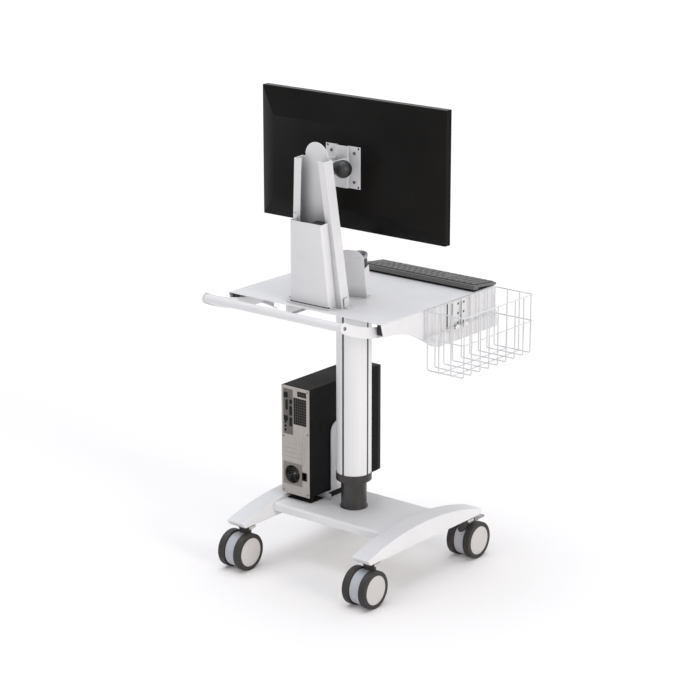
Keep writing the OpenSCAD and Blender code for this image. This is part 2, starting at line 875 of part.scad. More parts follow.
// The scanner stand's place on the surface, turned to the side
module stand_place() {
    stand_x = -33.4;
    stand_y = 37.1;
    placed() translate([stand_x, stand_y, surface_h]) rotate([0, 0, stand_turn]) children();
}

// The scanner stand's own frame, leaning back from the surface
module stand_frame() {
    stand_place() rotate([-stand_lean, 0, 0]) children();
}

// Scanner stand: a round-shouldered plate with a side flange and a foot on the surface
module scanner_stand() {
    half_w = 34;
    round_r = 24.5;
    plate_t = 2.5;
    flange_d = 27;
    flange_low = 20;
    flange_high = 82;
    foot_d = 26;
    color(white) {
        difference() {
            stand_frame() {
                slab(0, plate_t) union() {
                    translate([-half_w, -5]) square([2 * half_w, stand_h + 5 - round_r]);
                    translate([-half_w + round_r, 0]) square([2 * (half_w - round_r), stand_h]);
                    for (side = [-1, 1])
                        translate([side * (half_w - round_r), stand_h - round_r]) circle(round_r);
                }
                block([-half_w, -flange_d, flange_low],
                      [-half_w + plate_t, plate_t / 2, flange_high]);
            }
            stand_place() block([-half_w - 10, -20, -30], [half_w + 10, 20, 0]);
        }
        stand_place() block([-half_w + 2, -foot_d, 0], [half_w - 2, 1, plate_t]);
    }
}

// Scanner cup: an open cup on a flat pad against the stand
module scanner_cup() {
    cup_r = 20.5;
    cup_x = -10.4;
    cup_y = -cup_r - 1.5;
    cup_low = 64;
    cup_high = 109;
    cup_wall = 3;
    pad_half = 13;
    color(dark_grey) stand_frame() difference() {
        union() {
            bar_z(cup_r, cup_x, cup_y, cup_low, cup_high);
            block([cup_x - pad_half, cup_y, cup_low], [cup_x + pad_half, 0, cup_high]);
        }
        bar_z(cup_r - cup_wall, cup_x, cup_y, cup_low + cup_wall, cup_high + 1);
    }
}

// The keyboard's own frame: x from its right end, y from its front edge, z from its underside
module keyboard_frame() {
    placed() translate([keyboard_x, keyboard_y, surface_h]) rotate([keyboard_tilt, 0, 0]) children();
}

// Two guide stems under each row of keys, grown by a clearance for their holes
module key_stems(row, grow, z0, z1) {
    y = key_front + 1 + row * key_pitch + key_depth / 2;
    for (x = [keyboard_w * 0.25, keyboard_w * 0.7])
        block([x - key_stem / 2 - grow, y - key_stem / 2 - grow, z0],
              [x + key_stem / 2 + grow, y + key_stem / 2 + grow, z1]);
}

// One row of keys as a bar on its stems
module key_row(row) {
    y = key_front + 1 + row * key_pitch;
    block([5, y, key_low], [keyboard_w - 5, y + key_depth, key_low + key_h]);
    key_stems(row, 0, 3.2, key_low + 1);
}

// Keyboard base: a thin key plate that slopes up to a deep bar along its rear edge
module keyboard_base() {
    color(black) keyboard_frame() difference() {
        union() {
            block([0, 0, 0], [keyboard_w, keyboard_d, keyboard_t]);
            block([0, bar_front, -bar_drop], [keyboard_w, keyboard_d, keyboard_t]);
        }
        block([4, key_front, keyboard_t - key_well],
              [keyboard_w - 4, key_front + 5 * key_pitch + 0.8, keyboard_t + 1]);
        for (row = [0:4])
            key_stems(row, 0.15, -1, keyboard_t);
    }
}

// Letter keys: the four rows behind the space bar
module letter_keys() {
    color("#2b2b2b") keyboard_frame() for (row = [1:4]) key_row(row);
}

// Space row: the row nearest the user
module space_row() {
    color("#2b2b2b") keyboard_frame() key_row(0);
}

// Keyboard feet: a rubber pan that fills the wedge between the case and the surface
module keyboard_feet() {
    inset = 3;
    color(black) difference() {
        keyboard_frame() {
            block([inset, 6, -bar_drop - 10], [keyboard_w - inset, bar_front, 0]);
            block([inset, bar_front - 10, -bar_drop - 10],
                  [keyboard_w - inset, keyboard_d - inset, -bar_drop]);
        }
        placed() block([-400, -400, surface_h - 40], [400, 0, surface_h]);
    }
}

// Computer holder: a tray on two cross feet with a tall round-topped side plate
module pc_holder() {
    plate_t = 3;
    tray_z = pc_z - 3.5;
    plate_x = pc_x - 4;
    plate_top = deck_top + 212;
    front = -135;
    back = -15;
    tray_back = 5;
    round_r = 30;
    color(white) placed() {
        block([plate_x, front, tray_z], [pc_x + pc_w - 7, tray_back, pc_z]);
        for (y = [front, tray_back - plate_t])
            block([plate_x - 14, y, deck_top], [plate_x + 50, y + plate_t, tray_z + 1]);
        side_plate(plate_x, plate_x + plate_t) union() {
            translate([front, tray_z]) square([back - front, plate_top - tray_z - round_r]);
            translate([front + round_r, tray_z]) square([back - front - 2 * round_r, plate_top - tray_z]);
            for (y = [front + round_r, back - round_r])
                translate([y, plate_top - round_r]) circle(round_r);
        }
    }
}

// Computer chassis: the bare metal floor and rear panel
module pc_chassis() {
    back = pc_y + pc_d;
    color(steel) placed() difference() {
        union() {
            block([pc_x, back - pc_sheet, pc_z], [pc_x + pc_w, back, pc_z + pc_h]);
            block([pc_x + pc_sheet, pc_y + 12, pc_z], [pc_x + pc_w - pc_sheet, back, pc_z + pc_sheet]);
        }
        bar_y(fan_r - 0.5, fan_x, back - 5, back + 1, fan_z);
        block([inlet_x - inlet_half_w, back - 5, inlet_z - inlet_half_h],
              [inlet_x + inlet_half_w, back + 1, inlet_z + inlet_half_h]);
    }
}

// Computer cover: a folded hood over the chassis
module pc_cover() {
    back = pc_y + pc_d - pc_sheet;
    color(black) placed() difference() {
        block([pc_x, pc_y + 12, pc_z], [pc_x + pc_w, back, pc_z + pc_h]);
        block([pc_x + pc_sheet, pc_y + 11, pc_z - 1],
              [pc_x + pc_w - pc_sheet, back + 1, pc_z + pc_h - pc_sheet]);
    }
}

// Front bezel of the computer, with a round pocket for the power button
module pc_front_bezel() {
    color(black) placed() difference() {
        block([pc_x, pc_y, pc_z], [pc_x + pc_w, pc_y + 12, pc_z + pc_h]);
        bar_y(8, pc_x + pc_w / 2, pc_y - 1, pc_y + 8, pc_z + pc_h - 40);
        bar_y(3.2, pc_x + pc_w / 2, pc_y - 1, pc_y + 13, pc_z + pc_h - 40);
    }
}

// Power button: a cap on a short stem that slides in the bezel
module pc_power_button() {
    color(light_grey) placed() {
        bar_y(7.6, pc_x + pc_w / 2, pc_y, pc_y + 5, pc_z + pc_h - 40);
        bar_y(3.1, pc_x + pc_w / 2, pc_y + 4, pc_y + 11, pc_z + pc_h - 40);
    }
}

// Power supply: a box behind the rear panel with a round fan bay, a fan pin and the mains inlet
module pc_power_supply() {
    back = pc_y + pc_d - pc_sheet;
    color(steel) placed() {
        difference() {
            block([pc_x + 8, back - 146, pc_z + 6], [pc_x + pc_w - 7, back, pc_z + 94]);
            bar_y(fan_r + 1.5, fan_x, back - 20, back + 1, fan_z);
            block([inlet_x - inlet_half_w, back - 18, inlet_z - inlet_half_h],
                  [inlet_x + inlet_half_w, back + 1, inlet_z + inlet_half_h]);
            block([pc_x + 10, back - 144, pc_z + 8], [pc_x + pc_w - 9, back - 22, pc_z + 92]);
        }
        bar_y(3, fan_x, back - 21, back - 6, fan_z);
        for (pin = [[-3, -5], [-3, 5], [2, 0]])
            block([inlet_x + pin[0] - 0.75, back - 19, inlet_z + pin[1] - 2],
                  [inlet_x + pin[0] + 0.75, back - 8, inlet_z + pin[1] + 2]);
    }
}

// Fan: a hub with seven pitched blades, free on the supply's pin
module pc_fan() {
    blades = 7;
    hub = 10;
    back = pc_y + pc_d - pc_sheet;
    color(black) placed() translate([fan_x, back - 11, fan_z]) difference() {
        intersection() {
            union() {
                bar_y(hub, 0, -5, 5, 0);
                for (i = [0:blades - 1])
                    rotate([0, i * 360 / blades, 0])
                        rotate([0, 0, 35]) block([-5, -0.8, 4], [5, 0.8, fan_r]);
            }
            bar_y(fan_r - 0.8, 0, -5, 5, 0);
        }
        bar_y(3 + run_fit, 0, -6, 6, 0);
    }
}

leg_left();
leg_right();
deck();
lower_column();
upper_guide();
gas_cylinder();
gas_rod();
upper_column();
column_collar();
column_head();
release_lever();
caster_body("fl");  // caster_body_fl
caster_tyres("fl");  // caster_tyres_fl
caster_hubs("fl");  // caster_hubs_fl
caster_axle("fl");  // caster_axle_fl
brake_pedal("fl");  // brake_pedal_fl
caster_body("fr");  // caster_body_fr
caster_tyres("fr");  // caster_tyres_fr
caster_hubs("fr");  // caster_hubs_fr
caster_axle("fr");  // caster_axle_fr
brake_pedal("fr");  // brake_pedal_fr
caster_body("rl");  // caster_body_rl
caster_tyres("rl");  // caster_tyres_rl
caster_hubs("rl");  // caster_hubs_rl
caster_axle("rl");  // caster_axle_rl
caster_body("rr");  // caster_body_rr
caster_tyres("rr");  // caster_tyres_rr
caster_hubs("rr");  // caster_hubs_rr
caster_axle("rr");  // caster_axle_rr
work_surface();
skirt_left();
skirt_right();
accessory_plate();
basket();
handle_bar();
handle_arm_left();
handle_arm_right();
mast();
rear_bin();
power_pack();
tilt_arm();
tilt_knob();
vesa_plate();
vesa_screws();
monitor_back();
monitor_bezel();
screen_panel();
scanner_stand();
scanner_cup();
keyboard_base();
letter_keys();
space_row();
keyboard_feet();
pc_holder();
pc_chassis();
pc_cover();
pc_front_bezel();
pc_power_supply();
pc_fan();
pc_power_button();
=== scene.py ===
import json
import math

import bmesh
import bpy
from mathutils import Matrix, Vector

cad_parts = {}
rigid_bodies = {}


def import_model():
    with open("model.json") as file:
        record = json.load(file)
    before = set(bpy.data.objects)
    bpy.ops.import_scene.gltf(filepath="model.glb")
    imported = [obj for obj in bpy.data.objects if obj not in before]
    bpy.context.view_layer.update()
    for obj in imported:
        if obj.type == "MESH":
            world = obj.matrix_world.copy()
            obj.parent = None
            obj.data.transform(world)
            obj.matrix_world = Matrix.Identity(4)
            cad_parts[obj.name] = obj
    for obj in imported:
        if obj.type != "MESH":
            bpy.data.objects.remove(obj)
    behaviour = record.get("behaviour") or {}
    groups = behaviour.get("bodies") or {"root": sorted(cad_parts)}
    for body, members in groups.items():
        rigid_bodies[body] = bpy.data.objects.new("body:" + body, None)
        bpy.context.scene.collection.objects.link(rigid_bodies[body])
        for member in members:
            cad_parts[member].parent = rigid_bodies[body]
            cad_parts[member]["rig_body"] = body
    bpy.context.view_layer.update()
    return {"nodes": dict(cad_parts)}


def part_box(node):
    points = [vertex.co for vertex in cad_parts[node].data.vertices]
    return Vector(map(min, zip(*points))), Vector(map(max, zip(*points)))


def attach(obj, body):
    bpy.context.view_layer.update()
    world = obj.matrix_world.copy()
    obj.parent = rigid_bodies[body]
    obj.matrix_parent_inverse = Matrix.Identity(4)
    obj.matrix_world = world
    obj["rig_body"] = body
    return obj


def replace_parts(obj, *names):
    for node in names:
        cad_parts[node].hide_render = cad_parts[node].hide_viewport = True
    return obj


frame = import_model()


# Legs: two arched aluminium castings under the cart's sides, with a fine textured white powder coat.
# The mould and the coat ease every edge, and each casting bolts to the deck from its inner side.
def paint(chart_colour):
    """A colour as a paint chart writes it, turned into the linear values that a shader takes."""
    parts = [int(chart_colour[i:i + 2], 16) / 255 for i in (1, 3, 5)]
    return [p / 12.92 if p <= 0.04045 else ((p + 0.055) / 1.055) ** 2.4 for p in parts] + [1.0]


def effect_group(name, inputs, outputs):
    """An empty shader node group with number sockets; gives its tree, its inputs and its outputs."""
    tree = bpy.data.node_groups.new(name, "ShaderNodeTree")
    for label, value in inputs.items():
        tree.interface.new_socket(label, in_out="INPUT", socket_type="NodeSocketFloat").default_value = value
    for label in outputs:
        tree.interface.new_socket(label, in_out="OUTPUT", socket_type="NodeSocketFloat")
    return tree, tree.nodes.new("NodeGroupInput").outputs, tree.nodes.new("NodeGroupOutput").inputs


def noise(tree, where, scale, detail=2.0):
    """Cloudy noise over a place; scale is a number or a socket."""
    node = tree.nodes.new("ShaderNodeTexNoise")
    node.inputs["Detail"].default_value = detail
    tree.links.new(where, node.inputs["Vector"])
    if isinstance(scale, bpy.types.NodeSocket):
        tree.links.new(scale, node.inputs["Scale"])
    else:
        node.inputs["Scale"].default_value = scale
    return node.outputs["Fac"]


def ranged(tree, value, start, end, low, high):
    """Spreads a value between start and end over low to high, and holds it there."""
    node = tree.nodes.new("ShaderNodeMapRange")
    tree.links.new(value, node.inputs["Value"])
    for label, number in (("From Min", start), ("From Max", end), ("To Min", low), ("To Max", high)):
        node.inputs[label].default_value = number
    return node.outputs["Result"]


def multiplied(tree, first, second):
    """The product of two values."""
    node = tree.nodes.new("ShaderNodeMath")
    node.operation = "MULTIPLY"
    tree.links.new(first, node.inputs[0])
    tree.links.new(second, node.inputs[1])
    return node.outputs["Value"]


def laid_over(tree, mask, base, top):
    """Lays a colour over another by a mask; the base is a colour or a socket."""
    node = tree.nodes.new("ShaderNodeMix")
    node.data_type = "RGBA"
    factor, lower, upper = node.inputs[0], node.inputs[6], node.inputs[7]
    tree.links.new(mask, factor)
    if isinstance(base, bpy.types.NodeSocket):
        tree.links.new(base, lower)
    else:
        lower.default_value = base
    upper.default_value = top
    return node.outputs[2]


# Grain of a sprayed or moulded skin: fine pores, and broad patches of tone
skin_grain, grain_in, grain_out = effect_group("skin grain", {"Grain": 900.0}, ["Height", "Tone"])
grain_place = skin_grain.nodes.new("ShaderNodeTexCoord").outputs["Object"]
skin_grain.links.new(noise(skin_grain, grain_place, grain_in["Grain"], 3.0), grain_out["Height"])
skin_grain.links.new(noise(skin_grain, grain_place, 7.0, 4.0), grain_out["Tone"])

# Edges that hands and cloths rub: convex corners, broken up by patches
rubbed_edges, rub_in, rub_out = effect_group("rubbed edges", {"Patch": 30.0}, ["Mask"])
rub_corner = ranged(rubbed_edges, rubbed_edges.nodes.new("ShaderNodeNewGeometry").outputs["Pointiness"],
                    0.52, 0.60, 0.0, 1.0)
rub_place = rubbed_edges.nodes.new("ShaderNodeTexCoord").outputs["Object"]
rub_patch = ranged(rubbed_edges, noise(rubbed_edges, rub_place, rub_in["Patch"], 4.0), 0.4, 0.6, 0.2, 1.0)
rubbed_edges.links.new(multiplied(rubbed_edges, rub_corner, rub_patch), rub_out["Mask"])

# Dust that settles on faces that look up
settled_dust, dust_in, dust_out = effect_group("settled dust", {"Patch": 18.0}, ["Mask"])
dust_split = settled_dust.nodes.new("ShaderNodeSeparateXYZ")
settled_dust.links.new(settled_dust.nodes.new("ShaderNodeNewGeometry").outputs["Normal"],
                       dust_split.inputs["Vector"])
dust_up = ranged(settled_dust, dust_split.outputs["Z"], 0.6, 1.0, 0.0, 1.0)
dust_place = settled_dust.nodes.new("ShaderNodeTexCoord").outputs["Object"]
dust_patch = ranged(settled_dust, noise(settled_dust, dust_place, dust_in["Patch"], 5.0), 0.35, 0.7, 0.1, 1.0)
settled_dust.links.new(multiplied(settled_dust, dust_up, dust_patch), dust_out["Mask"])

# Painted shade: grey laid into folds and inner corners, the more the closer other surfaces shut them in
painted_fold_shade, fold_shade_in, fold_shade_out = effect_group("painted fold shade", {"Reach": 0.045}, ["Mask"])
fold_openness = painted_fold_shade.nodes.new("ShaderNodeAmbientOcclusion")
fold_openness.samples = 8
painted_fold_shade.links.new(fold_shade_in["Reach"], fold_openness.inputs["Distance"])
painted_fold_shade.links.new(ranged(painted_fold_shade, fold_openness.outputs["AO"], 0.30, 0.90, 1.0, 0.0), fold_shade_out["Mask"])


def effect(tree, group, **values):
    """Places an effect group in a material with its own values."""
    node = tree.nodes.new("ShaderNodeGroup")
    node.node_tree = group
    for label, value in values.items():
        node.inputs[label].default_value = value
    return node.outputs


def relief(tree, height, shader, strength, distance):
    """Raises a surface by a height."""
    bump = tree.nodes.new("ShaderNodeBump")
    bump.inputs["Strength"].default_value = strength
    bump.inputs["Distance"].default_value = distance
    tree.links.new(height, bump.inputs["Height"])
    tree.links.new(bump.outputs["Normal"], shader.inputs["Normal"])


dust_grey, fold_shade_grey = paint("#b9b6b0"), paint("#4b4a4e")


def coated(name, colour, shade, roughness, grain, depth, rubbed, dust=0.04, gloss=0.5, folds=0.0):
    """A painted or moulded skin: a colour that drifts to a shade, pores, rubbed edges, dust, and painted
    shade in folds.
    """
    finish = bpy.data.materials.new(name)
    finish.use_nodes = True
    tree = finish.node_tree
    shader = tree.nodes["Principled BSDF"]
    shader.inputs["Specular IOR Level"].default_value = gloss
    skin = effect(tree, skin_grain, Grain=grain)
    drift = laid_over(tree, ranged(tree, skin["Tone"], 0.3, 0.7, 0.0, 1.0), paint(shade), paint(colour))
    edge_share, edge_colour = rubbed
    edge = ranged(tree, effect(tree, rubbed_edges)["Mask"], 0.0, 1.0, 0.0, edge_share)
    drift = laid_over(tree, edge, drift, paint(edge_colour))
    dusty = ranged(tree, effect(tree, settled_dust)["Mask"], 0.0, 1.0, 0.0, dust)
    drift = laid_over(tree, dusty, drift, dust_grey)
    # Painted shade in folds and inner corners, by the share given in folds
    if folds:
        hidden = ranged(tree, effect(tree, painted_fold_shade)["Mask"], 0.0, 1.0, 0.0, folds)
        drift = laid_over(tree, hidden, drift, fold_shade_grey)
    tree.links.new(drift, shader.inputs["Base Color"])
    rough = ranged(tree, skin["Tone"], 0.3, 0.7, roughness - 0.05, roughness + 0.05)
    tree.links.new(rough, shader.inputs["Roughness"])
    relief(tree, skin["Height"], shader, 0.35, depth)
    return finish


def fitted(name, shape, finish, body, ease=0.0, segments=2):
    """Makes a bmesh into a piece that rides on a body, with eased edges and smooth rounds."""
    corner = math.radians(33)
    bmesh.ops.recalc_face_normals(shape, faces=shape.faces)
    mesh = bpy.data.meshes.new(name)
    shape.to_mesh(mesh)
    shape.free()
    mesh.materials.append(finish)
    mesh.shade_smooth()
    mesh.set_sharp_from_angle(angle=corner)
    piece = bpy.data.objects.new(name, mesh)
    bpy.context.scene.collection.objects.link(piece)
    if ease:
        edges = piece.modifiers.new("eased edges", "BEVEL")
        edges.width = ease
        edges.segments = segments
        edges.limit_method = "ANGLE"
        edges.angle_limit = corner
        edges.use_clamp_overlap = False
        edges.harden_normals = True
    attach(piece, body)
    return piece


def node_shape(node):
    """A CAD node's mesh as a bmesh, with its seams joined and its flat faces made whole."""
    shape = bmesh.new()
    shape.from_mesh(frame["nodes"][node].data)
    bmesh.ops.remove_doubles(shape, verts=shape.verts, dist=1e-6)
    flat = math.radians(0.4)
    bmesh.ops.dissolve_limit(shape, angle_limit=flat, verts=shape.verts, edges=shape.edges)
    for face in shape.faces:
        face.material_index = 0
    return shape


def softened(node, finish, ease, segments=3):
    """A CAD node with its edges eased, which stands for the sharp solid."""
    body = frame["nodes"][node]["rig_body"]
    piece = fitted(node + "_eased", node_shape(node), finish, body, ease, segments)
    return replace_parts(piece, node)


# The legs' coat has painted shade in its folds and inner corners.
casting_white = coated("casting_white", "#e9e9ea", "#e3e3e4", 0.5, 700.0, 0.0004, (0.25, "#f4f4f5"),
                       folds=0.3)
for side in ("left", "right"):
    softened("leg_" + side, casting_white, 0.003, 4)


# Deck: the cast plate between the legs that carries the column and the computer's holder.
# Its coat is a shade whiter than the legs', as painted light for the light that the work surface above
# keeps off it, with a rounded upper edge front and back.
deck_lit_white = coated("deck_lit_white", "#f3f3f4", "#eeeeef", 0.45, 700.0, 0.0003, (0.2, "#f8f8f8"), 0.02)
softened("deck", deck_lit_white, 0.0012, 2)


# Casters: twin-wheel swivel casters pressed into the legs by their stems. Rubber tyres run on nylon
# hubs either side of a nylon drum, a thin cap covers each hub, and a dark sleeve with a tab the neck.
# The sleeve's dark colour, reaching down between the tyres, is partly painted shade over the drum's top.
def block(shape, low, high):
    """Adds a rectangular block between two corners."""
    low, high = Vector(low), Vector(high)
    made = bmesh.ops.create_cube(shape, size=1.0)["verts"]
    bmesh.ops.scale(shape, vec=high - low, verts=made)
    bmesh.ops.translate(shape, vec=(low + high) / 2, verts=made)
    return made


def turned(shape, profile, centre, axis, sides=48):
    """Adds a profile of (radius, distance along the axis) points turned about an axis."""
    axis = Vector(axis).normalized()
    across = axis.orthogonal().normalized()
    beside = axis.cross(across)
    rings = []
    for radius, along in profile:
        middle = Vector(centre) + axis * along
        turns = [2 * math.pi * i / sides for i in range(sides if radius > 1e-7 else 1)]
        rings.append([shape.verts.new(middle + (across * math.cos(t) + beside * math.sin(t)) * radius)
                      for t in turns])
    for lower, upper in zip(rings, rings[1:]):
        for i in range(sides):
            corners = []
            for vert in (lower[i % len(lower)], lower[(i + 1) % sides % len(lower)],
                         upper[(i + 1) % sides % len(upper)], upper[i % len(upper)]):
                if vert not in corners:
                    corners.append(vert)
            if len(corners) > 2:
                shape.faces.new(corners)


tyre_rubber = coated("tyre_rubber", "#312f2d", "#2b2928", 0.55, 1500.0, 0.0003, (0.3, "#55524e"), 0.05, 0.4)
drum_nylon = coated("drum_nylon", "#c2c4c9", "#b9bbc0", 0.5, 1200.0, 0.0002, (0.2, "#c2c4c9"))
cap_nylon = coated("cap_nylon", "#d0cdcb", "#c7c4c2", 0.45, 1000.0, 0.0002, (0.3, "#dddcdb"))
sleeve_and_shade_dark = coated("sleeve_and_shade_dark", "#343230", "#2e2c2a", 0.5, 1200.0, 0.0003, (0.3, "#6b6967"))
axle_steel = coated("axle_steel", "#8f8c88", "#85827e", 0.35, 1500.0, 0.0001, (0.2, "#b5b2ae"))
caster_corners = ("fl", "fr", "rl", "rr")
caster_trail = 0.022
leg_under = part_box("leg_left")[0].z
for corner in caster_corners:
    body, wheels = "caster_" + corner, "wheels_" + corner
    softened("caster_body_" + corner, drum_nylon, 0.0006, 2)
    softened("caster_tyres_" + corner, tyre_rubber, 0.0004, 2)
    softened("caster_hubs_" + corner, cap_nylon, 0.0006, 2)
    softened("caster_axle_" + corner, axle_steel, 0.0005, 2)
    axle_low, axle_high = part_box("caster_axle_" + corner)
    axle = (axle_low + axle_high) / 2
    hub_low, hub_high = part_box("caster_hubs_" + corner)
    cap_r = (hub_high.z - hub_low.z) / 2 - 0.0015
    caps = bmesh.new()
    for face_x, out in ((hub_low.x, -1), (hub_high.x, 1)):
        profile = [(0.0, 0.0016), (cap_r * 0.5, 0.0013), (cap_r * 0.8, 0.0009), (cap_r * 0.95, 0.0005),
                   (cap_r, 0.0)]
        turned(caps, profile, (face_x, axle.y, axle.z), (out, 0, 0), 64)
    fitted("caster_caps_" + corner, caps, cap_nylon, wheels)
    trail = -caster_trail if corner[0] == "r" else caster_trail
    swivel = Vector((axle.x, axle.y + trail, leg_under))
    # The sleeve's long dark lower part between the tyres is painted shade over the drum's top.
    sleeve = bmesh.new()
    profile = [(0.0152, -0.0020), (0.0152, -0.0420), (0.0156, -0.0420), (0.0156, -0.0165), (0.0172, -0.0160),
               (0.0176, -0.0110), (0.0196, -0.0095), (0.0196, -0.0025), (0.0152, -0.0020)]
    turned(sleeve, profile, swivel, (0, 0, 1))
    fitted("caster_sleeve_" + corner, sleeve, sleeve_and_shade_dark, body)
    tab = bmesh.new()
    tab_x, tab_front, tab_back = -0.0235, -0.014, 0.010
    block(tab, swivel + Vector((tab_x, tab_front, -0.0112)), swivel + Vector((-0.0205, tab_back, -0.0008)))
    block(tab, swivel + Vector((tab_x, tab_front, -0.0045)), swivel + Vector((-0.0120, tab_back, -0.0015)))
    fitted("caster_tab_" + corner, tab, cap_nylon, body, 0.0006)


# Brake pedals: grey nylon foot levers on the two front casters, pinned to the drum's lug.
# A lighter ribbed pad is moulded onto the tread.
pedal_nylon = coated("pedal_nylon", "#a3a19f", "#999795", 0.5, 1200.0, 0.0003, (0.4, "#bdbbb9"))
for corner in ("fl", "fr"):
    softened("brake_pedal_" + corner, pedal_nylon, 0.0012, 3)
    low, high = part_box("brake_pedal_" + corner)
    pad = bmesh.new()
    pad_margin, pad_end = 0.003, 0.022
    rib_margin, rib_start, rib_pitch, rib_w = 0.005, 0.0045, 0.0045, 0.002
    top = high.z - 0.001
    block(pad, (low.x + pad_margin, low.y + pad_margin, top - 0.0005),
          (high.x - pad_margin, low.y + pad_end, top + 0.0004))
    for i in range(4):
        rib_y = low.y + rib_start + i * rib_pitch
        block(pad, (low.x + rib_margin, rib_y, top), (high.x - rib_margin, rib_y + rib_w, top + 0.0011))
    fitted("brake_pad_" + corner, pad, cap_nylon, "pedal_" + corner, 0.0003)


# Lower column: a drawn steel tube on a flange ring, sprayed in dark satin, bolted through the deck.
# The drawing leaves faint lines along it.
drawn_lines, lines_in, lines_out = effect_group(
    "drawn lines", {"Across": 900.0, "Along": 6.0}, ["Height", "Tone"])
lines_place = drawn_lines.nodes.new("ShaderNodeSeparateXYZ")
drawn_lines.links.new(drawn_lines.nodes.new("ShaderNodeTexCoord").outputs["Object"],
                      lines_place.inputs["Vector"])
lines_join = drawn_lines.nodes.new("ShaderNodeCombineXYZ")
for label, pitch in (("X", "Across"), ("Y", "Across"), ("Z", "Along")):
    drawn_lines.links.new(multiplied(drawn_lines, lines_place.outputs[label], lines_in[pitch]),
                          lines_join.inputs[label])
lines_noise = noise(drawn_lines, lines_join.outputs["Vector"], 1.0, 3.0)
drawn_lines.links.new(lines_noise, lines_out["Height"])
drawn_lines.links.new(ranged(drawn_lines, lines_noise, 0.35, 0.65, 0.0, 1.0), lines_out["Tone"])


def drawn(name, colour, shade, roughness, metal, across, along, depth, gloss=0.5):
    """A drawn, rolled or extruded skin with faint lines along Z, on bare metal or on paint."""
    finish = bpy.data.materials.new(name)
    finish.use_nodes = True
    tree = finish.node_tree
    shader = tree.nodes["Principled BSDF"]
    shader.inputs["Metallic"].default_value = metal
    shader.inputs["Specular IOR Level"].default_value = gloss
    lines = effect(tree, drawn_lines, Across=across, Along=along)
    tone = laid_over(tree, lines["Tone"], paint(shade), paint(colour))
    dusty = ranged(tree, effect(tree, settled_dust)["Mask"], 0.0, 1.0, 0.0, 0.05)
    tree.links.new(laid_over(tree, dusty, tone, dust_grey), shader.inputs["Base Color"])
    rough = ranged(tree, lines["Tone"], 0.0, 1.0, roughness - 0.04, roughness + 0.04)
    tree.links.new(rough, shader.inputs["Roughness"])
    relief(tree, lines["Height"], shader, 0.3, depth)
    return finish


tube_satin = drawn("tube_satin", "#2f2d2b", "#2b2927", 0.32, 0.0, 700.0, 4.0, 0.0001, 0.6)
softened("lower_column", tube_satin, 0.0008, 3)


# Gas spring and guides: inside the column, a black cylinder with a ground steel rod lifts the shell,
# and an acetal ring on the tube's end guides it. All are hidden when the cart is whole.
cylinder_black = coated("cylinder_black", "#201f1f", "#1a1919", 0.4, 900.0, 0.0002, (0.2, "#3c3b3b"))
rod_steel = drawn("rod_steel", "#c9c7c4", "#bdbbb8", 0.2, 1.0, 1200.0, 1200.0, 0.00005)
guide_acetal = coated("guide_acetal", "#d0cec9", "#c7c5c0", 0.4, 1000.0, 0.0001, (0.1, "#dddbd6"))
for node, finish, slot in (("gas_cylinder", cylinder_black, "black_plastic"),
                           ("gas_rod", rod_steel, "bare_steel"),
                           ("upper_guide", guide_acetal, "grey_plastic")):
    softened(node, finish, 0.0004, 2)


# Upper column: an extruded aluminium shell, sprayed white, that slides down over the tube.
# A dark strip snaps into each of its four grooves, and a moulded collar closes its lower end.
column_white = drawn("column_white", "#ececec", "#e7e7e8", 0.4, 0.0, 500.0, 2.0, 0.00008)
softened("upper_column", column_white, 0.0004, 2)
collar_nylon = coated("collar_nylon", "#343230", "#2e2c2a", 0.42, 1100.0, 0.0002, (0.3, "#5a5856"))
softened("column_collar", collar_nylon, 0.0012, 3)
strip_vinyl = coated("strip_vinyl", "#3d3c3c", "#363535", 0.5, 1500.0, 0.0002, (0.2, "#555454"))
shell_low, shell_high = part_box("upper_column")
axis = (shell_low + shell_high) / 2
shell_r = (shell_high.x - shell_low.x) / 2
strip_half, strip_rib_half, strip_gap = 0.0031, 0.0011, 0.0005
strip_low, strip_high = shell_low.z + strip_gap, shell_high.z - strip_gap
strips = bmesh.new()
for turn in range(4):
    made = block(strips, (shell_r - 0.0029, -strip_half, strip_low),
                 (shell_r - 0.0010, strip_half, strip_high))
    made += block(strips, (shell_r - 0.0015, -strip_rib_half, strip_low),
                  (shell_r - 0.0005, strip_rib_half, strip_high))
    spin = Matrix.Translation((axis.x, axis.y, 0)) @ Matrix.Rotation(math.radians(90 * turn), 4, "Z")
    bmesh.ops.transform(strips, matrix=spin, verts=made)
fitted("column_strips", strips, strip_vinyl, "lift", 0.0003)


# Column head and release lever: a welded steel channel under the work surface holds the shell and
# the gas rod, and a nylon-dipped lever hangs in its ears.
# This coat has painted shade in its folds and inner corners.
sheet_white = coated("sheet_white", "#e9e9ea", "#e4e4e5", 0.42, 1100.0, 0.0002, (0.3, "#f6f6f6"), folds=0.5)
softened("column_head", sheet_white, 0.0008, 2)
lever_grip = coated("lever_grip", "#333231", "#2d2c2b", 0.5, 1000.0, 0.0003, (0.3, "#565453"))
softened("release_lever", lever_grip, 0.0018, 3)


# Work surface: one steel sheet with a folded front edge, powder coated white, spot welded to the
# column head. The two skirts hang under its side edges.
softened("work_surface", sheet_white, 0.0007, 3)


